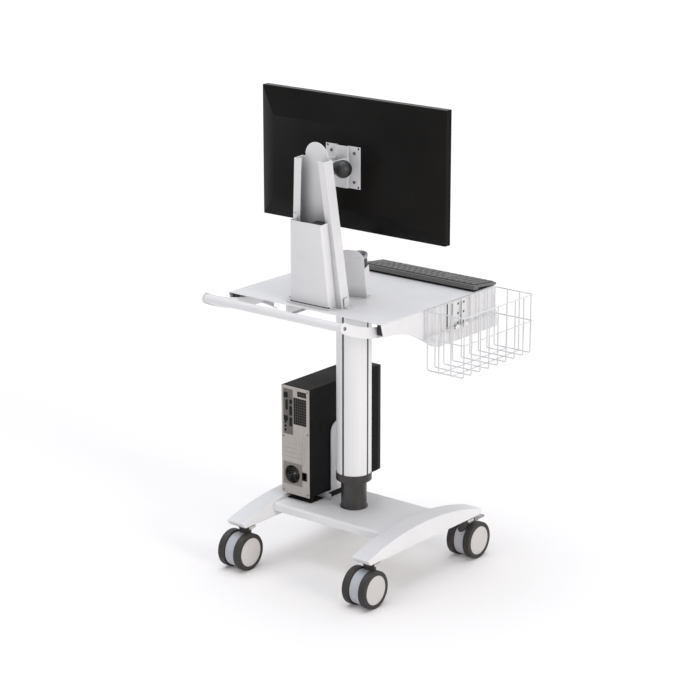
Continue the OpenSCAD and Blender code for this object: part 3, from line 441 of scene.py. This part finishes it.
# Skirts: cut and folded steel side panels, powder coated with the surface. Their lower edges sweep
# down towards the front, and a black block in the rear of each fold is painted shade in the gap there.
# Black for painted shade, put in gaps and openings that lie in shadow
painted_shade_black = coated("painted_shade_black", "#2b2a2c", "#252426", 0.6, 1200.0, 0.0003, (0.2, "#464547"))
fold_end_shade = bmesh.new()
shade_block_w, wall_t = 0.0205, 0.0021
surface_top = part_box("work_surface")[1].z
for side, out in (("left", 1), ("right", -1)):
    softened("skirt_" + side, sheet_white, 0.0006, 2)
    skirt_low, skirt_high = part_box("skirt_" + side)
    wall_x = skirt_high.x - wall_t if out > 0 else skirt_low.x + wall_t
    shade_block_x = wall_x - out * shade_block_w
    block(fold_end_shade, (min(wall_x, shade_block_x), skirt_high.y - 0.0195, surface_top - 0.0335),
          (max(wall_x, shade_block_x), skirt_high.y - 0.0125, surface_top - 0.0042))
fitted("skirt_fold_shade", fold_end_shade, painted_shade_black, "lift", 0.0008)


# Accessory plate: a punched steel plate screwed to the right skirt, with a grid of holes, slots between
# its leaves and two hooks for the basket's rail. Black strips behind its slots and beside its edges, and
# black rings in its holes, are painted shade in the gap between plate and skirt.
softened("accessory_plate", sheet_white, 0.0004, 2)
plate_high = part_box("accessory_plate")[1]
plate_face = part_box("skirt_right")[0].x - 0.003
slot_shade = bmesh.new()
# Each strip of painted shade: its distance from the plate's rear edge, its width, and how far down it starts
# and ends
for from_edge, width, start, end in ((-0.0012, 0.0012, 0.005, 0.066), (0.0165, 0.0030, 0.008, 0.042),
                                     (0.0555, 0.0030, 0.008, 0.071), (0.0940, 0.0012, 0.005, 0.066)):
    back = plate_high.y - from_edge
    block(slot_shade, (plate_face + 0.0004, back - width, surface_top - end),
          (plate_face + 0.0026, back, surface_top - start))
grid_pitch = 0.0254
grid_mid = Vector((plate_face, plate_high.y - 0.0563, surface_top - 0.0385))
# The holes' black rings are painted shade as well
hole_profile = [(0.0, 0.0012), (0.0014, 0.0012), (0.0016, -0.0001), (0.0031, -0.0002), (0.0033, 0.0002)]
for row in (-1, 0, 1):
    for file in (-0.5, 0.5):
        place = grid_mid + Vector((0, file * grid_pitch, row * grid_pitch))
        turned(slot_shade, hole_profile, place, (1, 0, 0), 20)
fitted("plate_slot_shade", slot_shade, painted_shade_black, "lift")


# Basket: steel wire bent into hoops, spot welded to the rails, and dipped in white plastic.
# The dip leaves the wires a little glossy.
wire_dip = coated("wire_dip", "#dededf", "#d6d6d7", 0.35, 800.0, 0.0002, (0.2, "#efeeed"))
softened("basket", wire_dip, 0.0)


# Push handle: a steel tube between two flat bars that sweep up from spacers on the skirts.
# All three are powder coated, and a button-head screw holds each end of the tube.
softened("handle_bar", sheet_white, 0.0003, 2)
screw_zinc = drawn("screw_zinc", "#8d8a87", "#7f7c79", 0.35, 1.0, 900.0, 900.0, 0.00005)


def button_screw(shape, seat, out, radius):
    """Adds a button-head screw with a round socket."""
    height = radius * 0.62
    profile = [(0.0, height * 0.35), (radius * 0.45, height * 0.35), (radius * 0.48, height),
               (radius * 0.72, height * 0.88), (radius * 0.92, height * 0.55), (radius, height * 0.1),
               (radius, 0.0)]
    turned(shape, profile, seat, out, 28)


handle_low, handle_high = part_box("handle_bar")
handle_mid = (handle_low + handle_high) / 2
handle_screws = bmesh.new()
arm_t = 0.004
for side, out in (("left", 1), ("right", -1)):
    softened("handle_arm_" + side, sheet_white, 0.0009, 3)
    face_x = handle_high.x + arm_t if out > 0 else handle_low.x - arm_t
    button_screw(handle_screws, (face_x, handle_mid.y, handle_mid.z), (out, 0, 0), 0.0048)
fitted("handle_screws", handle_screws, screw_zinc, "lift")


# Mast: a steel channel folded to a taper, open at the back with return lips and a round-topped web.
# An angle clip and a screw hold it on each side, and a thin foot plate lies behind it, under the bin.
softened("mast", sheet_white, 0.0008, 3)
mast_low, mast_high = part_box("mast")
mast_x = (mast_low.x + mast_high.x) / 2
mast_lean = math.radians(4.1)
mast_place = Matrix.Translation((mast_x, mast_low.y, surface_top)) @ Matrix.Rotation(-mast_lean, 4, "X")
bin_low, bin_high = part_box("rear_bin")
foot = bmesh.new()
foot_margin, foot_t = 0.004, 0.0025
block(foot, (bin_low.x - foot_margin, mast_low.y + 0.034, surface_top),
      (bin_high.x + foot_margin, mast_low.y + 0.068, surface_top + foot_t))
fitted("mast_foot_plate", foot, sheet_white, "lift", 0.0006)
clips = bmesh.new()
clip_screws = bmesh.new()
clip_gap, clip_fold, clip_screw, clip_reach, clip_rise = 0.0004, 0.0034, 0.0088, 0.014, 0.026
front, back = mast_low.y + 0.010, mast_low.y + 0.026
clip_low, clip_high = surface_top + foot_t, surface_top + clip_rise
for out, edge_x in ((-1, mast_low.x), (1, mast_high.x)):
    inner, outer = edge_x + out * clip_gap, edge_x + out * clip_reach
    block(clips, (min(inner, outer), front, surface_top), (max(inner, outer), back, clip_low))
    upright = edge_x + out * clip_fold
    block(clips, (min(inner, upright), front, surface_top), (max(inner, upright), back, clip_high))
    button_screw(clip_screws, (edge_x + out * clip_screw, (front + back) / 2, clip_low), (0, 0, 1), 0.0030)
fitted("mast_clips", clips, sheet_white, "lift", 0.0006)
fitted("mast_clip_screws", clip_screws, sheet_white, "lift")


# Rear bin: a folded pocket welded to the mast's lips, open at the top and set on a black strip of painted
# shade.
# A black power pack stands in it, and a screw in the mast's left lip earths it.
bin_shape = node_shape("rear_bin")
bin_back, bin_fold = 0.060, 0.005
from_mast = mast_place.inverted()
folds = [edge for edge in bin_shape.edges if edge.calc_length() > 0.15
         and all((from_mast @ vert.co).y > bin_back - 0.0005 for vert in edge.verts)]
bmesh.ops.bevel(bin_shape, geom=folds, offset=bin_fold, segments=5, profile=0.5, affect="EDGES")
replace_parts(fitted("rear_bin_eased", bin_shape, sheet_white, "lift", 0.0008, 2), "rear_bin")
# A black strip under the bin is painted shade in the gap above the foot plate.
pad = bmesh.new()
gap_shade_inset = 0.0006
block(pad, (bin_low.x + gap_shade_inset, mast_low.y + 0.0345, surface_top + 0.0024),
      (bin_high.x - gap_shade_inset, mast_low.y + 0.0605, surface_top + 0.0061))
fitted("bin_gap_shade", pad, painted_shade_black, "lift", 0.0004)
earth = bmesh.new()
earth_seat = mast_place @ Vector((0.0545, 0.032, 0.238))
button_screw(earth, earth_seat, mast_place.to_3x3() @ Vector((0, 1, 0)), 0.0034)
fitted("earth_screw", earth, sheet_white, "lift")
pack_abs = coated("pack_abs", "#1d1d1e", "#171718", 0.45, 1300.0, 0.0003, (0.3, "#39393a"))
softened("power_pack", pack_abs, 0.003, 4)


# Tilt joint: a short steel arm on the mast ends in a barrel between the mounting plate's ears.
# The egg-shaped knob is a phenolic grip on the clamp screw that runs through them.
softened("tilt_arm", sheet_white, 0.0008, 2)
knob_phenolic = coated("knob_phenolic", "#262728", "#202122", 0.42, 1400.0, 0.0003, (0.2, "#4b4c4e"))
softened("tilt_knob", knob_phenolic, 0.0004, 2)


# Mounting plate: pressed steel with a raised rib down its middle and two hole patterns, coated light
# grey-white, held to the monitor by four phosphated screws.
softened("vesa_plate", sheet_white, 0.0005, 2)
screw_grey = coated("screw_grey", "#5d5c5c", "#545353", 0.4, 1500.0, 0.0001, (0.3, "#7c7b7b"))
softened("vesa_screws", screw_grey, 0.0004, 2)


# Monitor: a black ABS back shell with bevelled sides, a slim bezel and a matt liquid-crystal screen.
# The shell has a satin spark-eroded skin, and small keys sit under the chin.
shell_abs = coated("shell_abs", "#1e1d1c", "#191817", 0.15, 2200.0, 0.00002, (0.1, "#262524"), 0.01, 0.04)
softened("monitor_back", shell_abs, 0.0016, 3)
softened("monitor_bezel", shell_abs, 0.0010, 3)
chin_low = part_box("monitor_bezel")[0]
chin_keys = bmesh.new()
chin_start, chin_pitch, chin_key_w = 0.030, 0.016, 0.010
for i in range(5):
    key_x = chin_low.x + chin_start + i * chin_pitch
    block(chin_keys, (key_x, chin_low.y + 0.002, chin_low.z - 0.0012),
          (key_x + chin_key_w, chin_low.y + 0.006, chin_low.z + 0.0008))
fitted("monitor_keys", chin_keys, shell_abs, "monitor", 0.0005)
screen_glass = coated("screen_glass", "#0d0e11", "#0a0b0e", 0.25, 3000.0, 0.00002, (0.0, "#0d0e11"), 0.03)
softened("screen_panel", screen_glass, 0.0)


# Scanner stand: a folded steel plate with round shoulders that leans back from a foot on the surface,
# and a moulded cup on its front for a handheld scanner, with a paler rim that lines it.
softened("scanner_stand", sheet_white, 0.0006, 3)
cup_nylon = coated("cup_nylon", "#464545", "#3f3e3e", 0.45, 1200.0, 0.0002, (0.3, "#7a7978"))
softened("scanner_cup", cup_nylon, 0.0010, 3)
stand_turn, stand_lean = math.radians(15), math.radians(11.5)
column_low, column_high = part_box("lower_column")
column = (column_low + column_high) / 2
stand_place = (Matrix.Translation((column.x - 0.0334, column.y + 0.0371, surface_top))
               @ Matrix.Rotation(stand_turn, 4, "Z") @ Matrix.Rotation(-stand_lean, 4, "X"))
cup_x, cup_r, cup_top = -0.0104, 0.0205, 0.109
rim_nylon = coated("rim_nylon", "#b3b2b6", "#a9a8ac", 0.4, 1200.0, 0.0002, (0.3, "#c4c3c7"))
rim = bmesh.new()
rim_profile = [(cup_r - 0.0032, -0.036), (cup_r - 0.0034, 0.0006), (cup_r - 0.0020, 0.0030),
               (cup_r + 0.0006, 0.0036), (cup_r + 0.0024, 0.0024), (cup_r + 0.0028, -0.0010),
               (cup_r + 0.0022, -0.0040), (cup_r, -0.0060)]
turned(rim, rim_profile, stand_place @ Vector((cup_x, -cup_r - 0.0015, cup_top)),
       stand_place.to_3x3() @ Vector((0, 0, 1)), 48)
fitted("scanner_cup_rim", rim, rim_nylon, "lift")
stand_screws = bmesh.new()
stand_t = 0.0025
for x, z in ((-0.023, 0.114), (0.002, 0.098)):
    button_screw(stand_screws, stand_place @ Vector((x, stand_t, z)),
                 stand_place.to_3x3() @ Vector((0, 1, 0)), 0.0026)
fitted("stand_screws", stand_screws, sheet_white, "lift")


# Keyboard: a dark grey ABS case with a thin key plate and a deep bar along its rear edge, on a black
# pan whose black is also painted shade under the case. Its keys are separate caps with pinched sides,
# on a pitch of one twentieth of their row.
case_abs = coated("case_abs", "#686765", "#605f5d", 0.5, 1800.0, 0.0002, (0.4, "#777674"))
softened("keyboard_base", case_abs, 0.0012, 3)
rubber_and_shade_black = coated("rubber_and_shade_black", "#141414", "#101010", 0.7, 1200.0, 0.0002, (0.1, "#222222"), 0.03, 0.2)
# The pan's black is also painted shade under the case.
softened("keyboard_feet", rubber_and_shade_black, 0.0006, 2)
key_abs = coated("key_abs", "#525150", "#4b4a49", 0.5, 2500.0, 0.0002, (0.35, "#5f5e5d"))
keyboard_tilt = math.radians(6)
key_plate_t = 0.007
case_low, case_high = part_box("keyboard_base")
case_front = case_low.y + key_plate_t * math.sin(keyboard_tilt)
keyboard_place = (Matrix.Translation((case_low.x, case_front, surface_top))
                  @ Matrix.Rotation(keyboard_tilt, 4, "X"))
key_side, key_front = 0.005, 0.006
key_unit = (case_high.x - case_low.x - 2 * key_side) / 20
key_pitch, key_depth, key_gap = 0.0176, 0.0164, 0.0014
key_low, key_top, key_pinch = 0.0067, 0.0098, 0.0012
# Widths of the keys of each row from its end at -X, in key units, front row first
key_rows = [
    [1] * 5 + [1.25] * 4 + [6.25] + [1.25] * 3,
    [1] * 5 + [2.75] + [1] * 10 + [2.25],
    [1] * 5 + [2.25] + [1] * 11 + [1.75],
    [1] * 5 + [1.5] + [1] * 12 + [1.5],
    [1] * 5 + [2] + [1] * 13,
]


def keycap(shape, x0, x1, y0, y1):
    """Adds one keycap with pinched sides and a flat top."""
    corners = []
    for z, pinch in ((key_low, 0.0), (key_top, key_pinch)):
        for x, y in ((x0 + pinch, y0 + pinch * 0.6), (x1 - pinch, y0 + pinch * 0.6),
                     (x1 - pinch, y1 - pinch), (x0 + pinch, y1 - pinch)):
            corners.append(shape.verts.new(keyboard_place @ Vector((x, y, z))))
    shape.faces.new(corners[3::-1])
    shape.faces.new(corners[4:])
    for i in range(4):
        j = (i + 1) % 4
        shape.faces.new((corners[i], corners[j], corners[4 + j], corners[4 + i]))


for piece_name, node, body, rows in (("space_caps", "space_row", "space", [0]),
                                     ("letter_caps", "letter_keys", "keys", [1, 2, 3, 4])):
    caps = bmesh.new()
    for row in rows:
        y = key_front + row * key_pitch
        x = key_side
        for width in key_rows[row]:
            keycap(caps, x + key_gap / 2, x + width * key_unit - key_gap / 2, y, y + key_depth)
            x += width * key_unit
    piece = fitted(piece_name, caps, key_abs, body, 0.0007, 3)
    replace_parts(piece, node)


# Computer holder: a folded steel tray on two cross feet, with a tall round-topped side plate that the
# computer leans against. It is powder coated with the base.
softened("pc_holder", sheet_white, 0.0008, 3)


# Computer case: a folded steel hood with a black textured coat over a zinc-plated chassis, on rubber
# feet. A thin black sheet under it and a black block under the holder's tray are painted shade, where the
# computer and the tray keep the light off the deck. The rear panel is plated sheet.
hood_black = coated("hood_black", "#0d0c0c", "#0a0909", 0.62, 600.0, 0.0005, (0.3, "#2c2a28"), 0.02, 0.12)
softened("pc_cover", hood_black, 0.0012, 3)
plate_zinc = drawn("plate_zinc", "#b9b3ae", "#afa9a3", 0.45, 0.15, 300.0, 20.0, 0.0001)
softened("pc_chassis", plate_zinc, 0.0004, 2)
pc_low, pc_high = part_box("pc_chassis")
deck_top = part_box("deck")[1].z
shade_sheet_t = 0.0018
feet = bmesh.new()
foot_side, foot_h = 0.022, pc_low.z - deck_top - shade_sheet_t - 0.0002
foot_profile = [(0.0, 0.0), (0.0085, 0.0), (0.0095, 0.0012), (0.0080, foot_h)]
for x in (pc_low.x + foot_side, pc_high.x - foot_side):
    turned(feet, foot_profile, (x, pc_high.y - 0.032, deck_top + shade_sheet_t), (0, 0, 1), 28)
fitted("pc_feet", feet, rubber_and_shade_black, "base")
holder_low, holder_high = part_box("pc_holder")
holder_foot, holder_gap = 0.0145, 0.0150
# Painted shade: a black sheet under the computer and a black block under the holder's tray
under_pc_shade = bmesh.new()
block(under_pc_shade, (pc_low.x + 0.006, holder_high.y + 0.001, deck_top),
      (pc_high.x - 0.008, pc_high.y - 0.014, deck_top + shade_sheet_t))
block(under_pc_shade, (holder_low.x + holder_foot, holder_low.y + 0.0035, deck_top),
      (pc_high.x - 0.010, holder_high.y - 0.0035, deck_top + holder_gap))
fitted("pc_under_shade", under_pc_shade, rubber_and_shade_black, "base", 0.0005)


# Computer front: a black ABS bezel with a drive door, two sockets and a row of slats below them,
# and a round grey power button.
bezel_abs = coated("bezel_abs", "#1e1e1f", "#181819", 0.45, 1500.0, 0.0002, (0.3, "#363637"), 0.03, 0.3)
softened("pc_front_bezel", bezel_abs, 0.0025, 4)
button_abs = coated("button_abs", "#aeacaa", "#a5a3a1", 0.4, 1500.0, 0.0001, (0.3, "#c6c4c2"))
softened("pc_power_button", button_abs, 0.0008, 3)
front_low, front_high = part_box("pc_front_bezel")
trim = bmesh.new()
trim_back = front_low.y + 0.002
door_side, slat_side = 0.010, 0.012
block(trim, (front_low.x + door_side, front_low.y - 0.0010, front_high.z - 0.100),
      (front_high.x - door_side, trim_back, front_high.z - 0.062))
slat_start, slat_pitch, slat_h = 0.030, 0.009, 0.004
for i in range(9):
    slat_z = front_low.z + slat_start + i * slat_pitch
    block(trim, (front_low.x + slat_side, front_low.y - 0.0012, slat_z),
          (front_high.x - slat_side, trim_back, slat_z + slat_h))
socket_start, socket_pitch, socket_w = 0.030, 0.022, 0.013
for i in range(2):
    socket_x = front_low.x + socket_start + i * socket_pitch
    block(trim, (socket_x, front_low.y - 0.0006, front_high.z - 0.120),
          (socket_x + socket_w, trim_back, front_high.z - 0.114))
fitted("pc_front_trim", trim, bezel_abs, "base", 0.0006)


# Rear panel fittings: a stamped connector shield, two pressed vent grilles, four slot covers beside a
# latch bar, and zinc-plated screws around the edge. Black plates behind the grilles' bars are painted
# shade in their openings.
def panel_block(shape, x0, z0, x1, z1, low, high):
    """Adds a block on the rear panel; sizes run from the panel's lower corner nearest the column."""
    block(shape, (pc_low.x + x0, pc_high.y + low, pc_low.z + z0),
          (pc_low.x + x1, pc_high.y + high, pc_low.z + z1))


shield_steel = drawn("shield_steel", "#6a6661", "#5e5a55", 0.45, 0.15, 400.0, 30.0, 0.0001)
# Black for ports and fittings, and for painted shade in the vents' openings
port_and_shade_black = coated("port_and_shade_black", "#0f0f0f", "#0b0b0b", 0.6, 1500.0, 0.0001, (0.1, "#202020"), 0.01, 0.2)
shield = bmesh.new()
panel_block(shield, 0.056, 0.168, 0.089, 0.295, -0.0003, 0.0006)
fitted("connector_shield", shield, shield_steel, "base", 0.0003)
ports = bmesh.new()
for x0, z0, x1, z1 in ((0.0590, 0.254, 0.0660, 0.266), (0.0590, 0.222, 0.0665, 0.248),
                       (0.0590, 0.192, 0.0665, 0.216), (0.0735, 0.270, 0.0860, 0.284),
                       (0.0735, 0.236, 0.0800, 0.264), (0.0735, 0.205, 0.0860, 0.219)):
    panel_block(ports, x0, z0, x1, z1, 0.0, 0.0022)
for z in (0.179, 0.190, 0.201):
    turned(ports, [(0.0, 0.0008), (0.0016, 0.0008), (0.0016, 0.0018), (0.0032, 0.0018), (0.0032, 0.0)],
           (pc_low.x + 0.081, pc_high.y, pc_low.z + z), (0, 1, 0), 20)
fitted("connector_ports", ports, port_and_shade_black, "base", 0.0003)
# Black plates behind the vent bars: painted shade in the openings
vent_shade = bmesh.new()
vent_bars = bmesh.new()
vent_pitch, vent_bar = 0.0072, 0.0011
for x0, z0, x1, z1 in ((0.0095, 0.279, 0.0403, 0.2937), (0.0095, 0.1997, 0.0538, 0.2741)):
    panel_block(vent_shade, x0, z0, x1, z1, -0.0003, 0.0002)
    for i in range(1, round((x1 - x0) / vent_pitch)):
        x = x0 + (x1 - x0) * i / round((x1 - x0) / vent_pitch)
        panel_block(vent_bars, x - vent_bar / 2, z0, x + vent_bar / 2, z1, 0.0, 0.0005)
    for i in range(1, round((z1 - z0) / vent_pitch)):
        z = z0 + (z1 - z0) * i / round((z1 - z0) / vent_pitch)
        panel_block(vent_bars, x0, z - vent_bar / 2, x1, z + vent_bar / 2, 0.0, 0.0005)
fitted("vent_shade", vent_shade, port_and_shade_black, "base")
bar_steel = drawn("bar_steel", "#55514d", "#4a4743", 0.5, 0.1, 400.0, 30.0, 0.0001)
fitted("vent_bars", vent_bars, bar_steel, "base")
covers = bmesh.new()
cover_start, cover_pitch, cover_h = 0.0935, 0.0131, 0.0108
for i in range(4):
    z = cover_start + i * cover_pitch
    panel_block(covers, 0.0245, z, 0.0860, z + cover_h, -0.0003, 0.0008)
panel_block(covers, 0.0180, 0.089, 0.0212, 0.166, -0.0003, 0.0022)
fitted("slot_covers", covers, plate_zinc, "base", 0.0005)
panel_screws = bmesh.new()
for x, z in ((0.0055, 0.2965), (0.0890, 0.1605), (0.0055, 0.1780), (0.0055, 0.0080), (0.0890, 0.0080)):
    button_screw(panel_screws, (pc_low.x + x, pc_high.y, pc_low.z + z), (0, 1, 0), 0.0028)
fitted("panel_screws", panel_screws, screw_zinc, "base")


# Power supply: a plated steel box whose grey rear plate shows through the panel, with a black fan in a
# black-lined bay behind a bent wire guard, and a black mains inlet.
softened("pc_power_supply", plate_zinc, 0.0006, 2)
fan_abs = coated("fan_abs", "#101011", "#0c0c0d", 0.5, 1500.0, 0.0001, (0.2, "#2b2b2c"), 0.03, 0.3)
softened("pc_fan", fan_abs, 0.0003, 2)
fan_low, fan_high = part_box("pc_fan")
fan = (fan_low + fan_high) / 2
fan.y = pc_high.y
bay_r = 0.0252
supply_plate = bmesh.new()
plate_left, plate_right = pc_low.x + 0.025 - fan.x, pc_low.x + 0.0888 - fan.x
plate_bottom, plate_top = pc_low.z + 0.027 - fan.z, pc_low.z + 0.089 - fan.z
turns = [math.radians(5 * i) for i in range(72)]
turns += [math.atan2(z, x) % (2 * math.pi)
          for x in (plate_left, plate_right) for z in (plate_bottom, plate_top)]
rings = []
for turn in sorted(turns):
    across, up = math.cos(turn), math.sin(turn)
    reach = min((plate_right if across > 0 else plate_left) / across if abs(across) > 1e-9 else 1.0,
                (plate_top if up > 0 else plate_bottom) / up if abs(up) > 1e-9 else 1.0)
    rings.append([supply_plate.verts.new(fan + Vector((across * r, y, up * r)))
                  for r, y in ((reach, 0.0), (reach, 0.0010), (bay_r, 0.0010), (bay_r, -0.0010))])
for here, after in zip(rings, rings[1:] + rings[:1]):
    for i in range(3):
        supply_plate.faces.new((here[i], here[i + 1], after[i + 1], after[i]))
supply_grey = drawn("supply_grey", "#89837d", "#7e7872", 0.45, 0.15, 300.0, 20.0, 0.0001)
fitted("supply_plate", supply_plate, supply_grey, "base")
lining = bmesh.new()
lining_in, lining_out, lining_mid = 0.0264, 0.0268, 0.0034
lining_profile = [(lining_mid, -0.0203), (lining_in, -0.0203), (lining_in, -0.0025), (lining_out, -0.0025),
                  (lining_out, -0.0208), (lining_mid, -0.0208), (lining_mid, -0.0203)]
turned(lining, lining_profile, fan, (0, 1, 0), 64)
fitted("fan_lining", lining, port_and_shade_black, "base")
guard = bmesh.new()
guard_wire, spoke_reach = 0.0007, 0.0285
for ring_r in (0.0080, 0.0135, 0.0190, 0.0245):
    section = [(ring_r + guard_wire * math.cos(a), guard_wire * math.sin(a))
               for a in (math.radians(60 * i) for i in range(7))]
    turned(guard, section, fan + Vector((0, 0.0018, 0)), (0, 1, 0), 40)
for turn in (45, 135):
    made = block(guard, (-spoke_reach, 0.0006, -guard_wire), (spoke_reach, 0.0020, guard_wire))
    spin = Matrix.Translation(fan) @ Matrix.Rotation(math.radians(turn), 4, "Y")
    bmesh.ops.transform(guard, matrix=spin, verts=made)
guard_black = coated("guard_black", "#242424", "#1d1d1d", 0.35, 1500.0, 0.0001, (0.3, "#4c4c4c"))
fitted("fan_guard", guard, guard_black, "base")
inlet = bmesh.new()
inlet_x0, inlet_x1, inlet_z0, inlet_z1 = 0.0102, 0.0228, 0.0482, 0.0678
inlet_wall = 0.0008
# The inlet's rim and its walls: how far each reaches outwards, and where it starts and ends in depth
for lip, deep, proud in ((0.0018, 0.0, 0.0014), (0.0, -0.0170, 0.0)):
    for x0, z0, x1, z1 in ((inlet_x0 - lip, inlet_z0 - lip, inlet_x0 + inlet_wall, inlet_z1 + lip),
                           (inlet_x1 - inlet_wall, inlet_z0 - lip, inlet_x1 + lip, inlet_z1 + lip),
                           (inlet_x0, inlet_z0 - lip, inlet_x1, inlet_z0 + inlet_wall),
                           (inlet_x0, inlet_z1 - inlet_wall, inlet_x1, inlet_z1 + lip)):
        panel_block(inlet, x0, z0, x1, z1, deep, proud)
panel_block(inlet, inlet_x0, inlet_z0, inlet_x1, inlet_z1, -0.0175, -0.0165)
fitted("mains_inlet", inlet, port_and_shade_black, "base", 0.0004)


# Floor, light and camera: a plain white sweep under a broad even sky, with a soft warm light from the
# cart's right and a softer one from above, seen by a long lens from behind and above.
floor_half = 40.0
floor_mesh = bpy.data.meshes.new("floor")
floor_mesh.from_pydata([(-floor_half, -floor_half, 0), (floor_half, -floor_half, 0),
                        (floor_half, floor_half, 0), (-floor_half, floor_half, 0)], [], [(0, 1, 2, 3)])
floor = bpy.data.objects.new("floor", floor_mesh)
bpy.context.scene.collection.objects.link(floor)
floor_paint = bpy.data.materials.new("floor_paint")
floor_paint.use_nodes = True
tree = floor_paint.node_tree
tree.nodes.remove(tree.nodes["Principled BSDF"])
matt = tree.nodes.new("ShaderNodeBsdfDiffuse")
matt.inputs["Color"].default_value = (0.97, 0.95, 0.93, 1.0)
glow = tree.nodes.new("ShaderNodeEmission")
seen = tree.nodes.new("ShaderNodeLightPath")
lift_light = ranged(tree, seen.outputs["Is Camera Ray"], 0.0, 1.0, 0.0, 0.06)
tree.links.new(lift_light, glow.inputs["Strength"])
both = tree.nodes.new("ShaderNodeAddShader")
tree.links.new(matt.outputs["BSDF"], both.inputs[0])
tree.links.new(glow.outputs["Emission"], both.inputs[1])
tree.links.new(both.outputs["Shader"], tree.nodes["Material Output"].inputs["Surface"])
floor_mesh.materials.append(floor_paint)

sky = bpy.data.worlds.new("sky")
sky.use_nodes = True
bpy.context.scene.world = sky
tree = sky.node_tree
soft = tree.nodes["Background"]
soft.inputs["Color"].default_value = (0.955, 0.962, 1.0, 1.0)
soft.inputs["Strength"].default_value = 0.56
bright = tree.nodes.new("ShaderNodeBackground")
bright.inputs["Color"].default_value = (1.0, 1.0, 1.0, 1.0)
bright.inputs["Strength"].default_value = 1.0
path = tree.nodes.new("ShaderNodeLightPath")
shown = path.outputs["Is Camera Ray"]
for label in ("Is Glossy Ray", "Is Transmission Ray"):
    either = tree.nodes.new("ShaderNodeMath")
    either.operation = "MAXIMUM"
    tree.links.new(shown, either.inputs[0])
    tree.links.new(path.outputs[label], either.inputs[1])
    shown = either.outputs["Value"]
choose = tree.nodes.new("ShaderNodeMixShader")
tree.links.new(shown, choose.inputs["Fac"])
tree.links.new(soft.outputs["Background"], choose.inputs[1])
tree.links.new(bright.outputs["Background"], choose.inputs[2])
tree.links.new(choose.outputs["Shader"], tree.nodes["World Output"].inputs["Surface"])

# Each lamp: name, where it shines from, strength, spread in degrees, colour
for name, towards, strength, spread, colour in (
        ("side_light", (-1.0, 0.15, 0.24), 1.08, 20, (1.0, 0.95, 0.89)),
        ("top_light", (0.12, 0.0, 1.0), 1.40, 55, (0.92, 0.94, 1.0))):
    lamp = bpy.data.lights.new(name, "SUN")
    lamp.energy = strength
    lamp.angle = math.radians(spread)
    lamp.color = colour
    lamp_object = bpy.data.objects.new(name, lamp)
    lamp_object.rotation_mode = "QUATERNION"
    lamp_object.rotation_quaternion = Vector(towards).to_track_quat("Z", "Y")
    bpy.context.scene.collection.objects.link(lamp_object)

camera_place = Vector((column.x - 3.66346, column.y + 4.58701, 2.34575))
camera_turn, camera_dip = 0.6757, 0.2898
camera_look = Vector((math.sin(camera_turn) * math.cos(camera_dip),
                      -math.cos(camera_turn) * math.cos(camera_dip), -math.sin(camera_dip)))
camera = bpy.data.objects.new("camera", bpy.data.cameras.new("camera"))
camera.data.sensor_width = 36.0
camera.data.lens = 119.97
camera.location = camera_place
camera.rotation_mode = "QUATERNION"
camera.rotation_quaternion = camera_look.to_track_quat("-Z", "Y")
bpy.context.scene.collection.objects.link(camera)
bpy.context.scene.camera = camera
bpy.context.scene.view_settings.view_transform = "Standard"
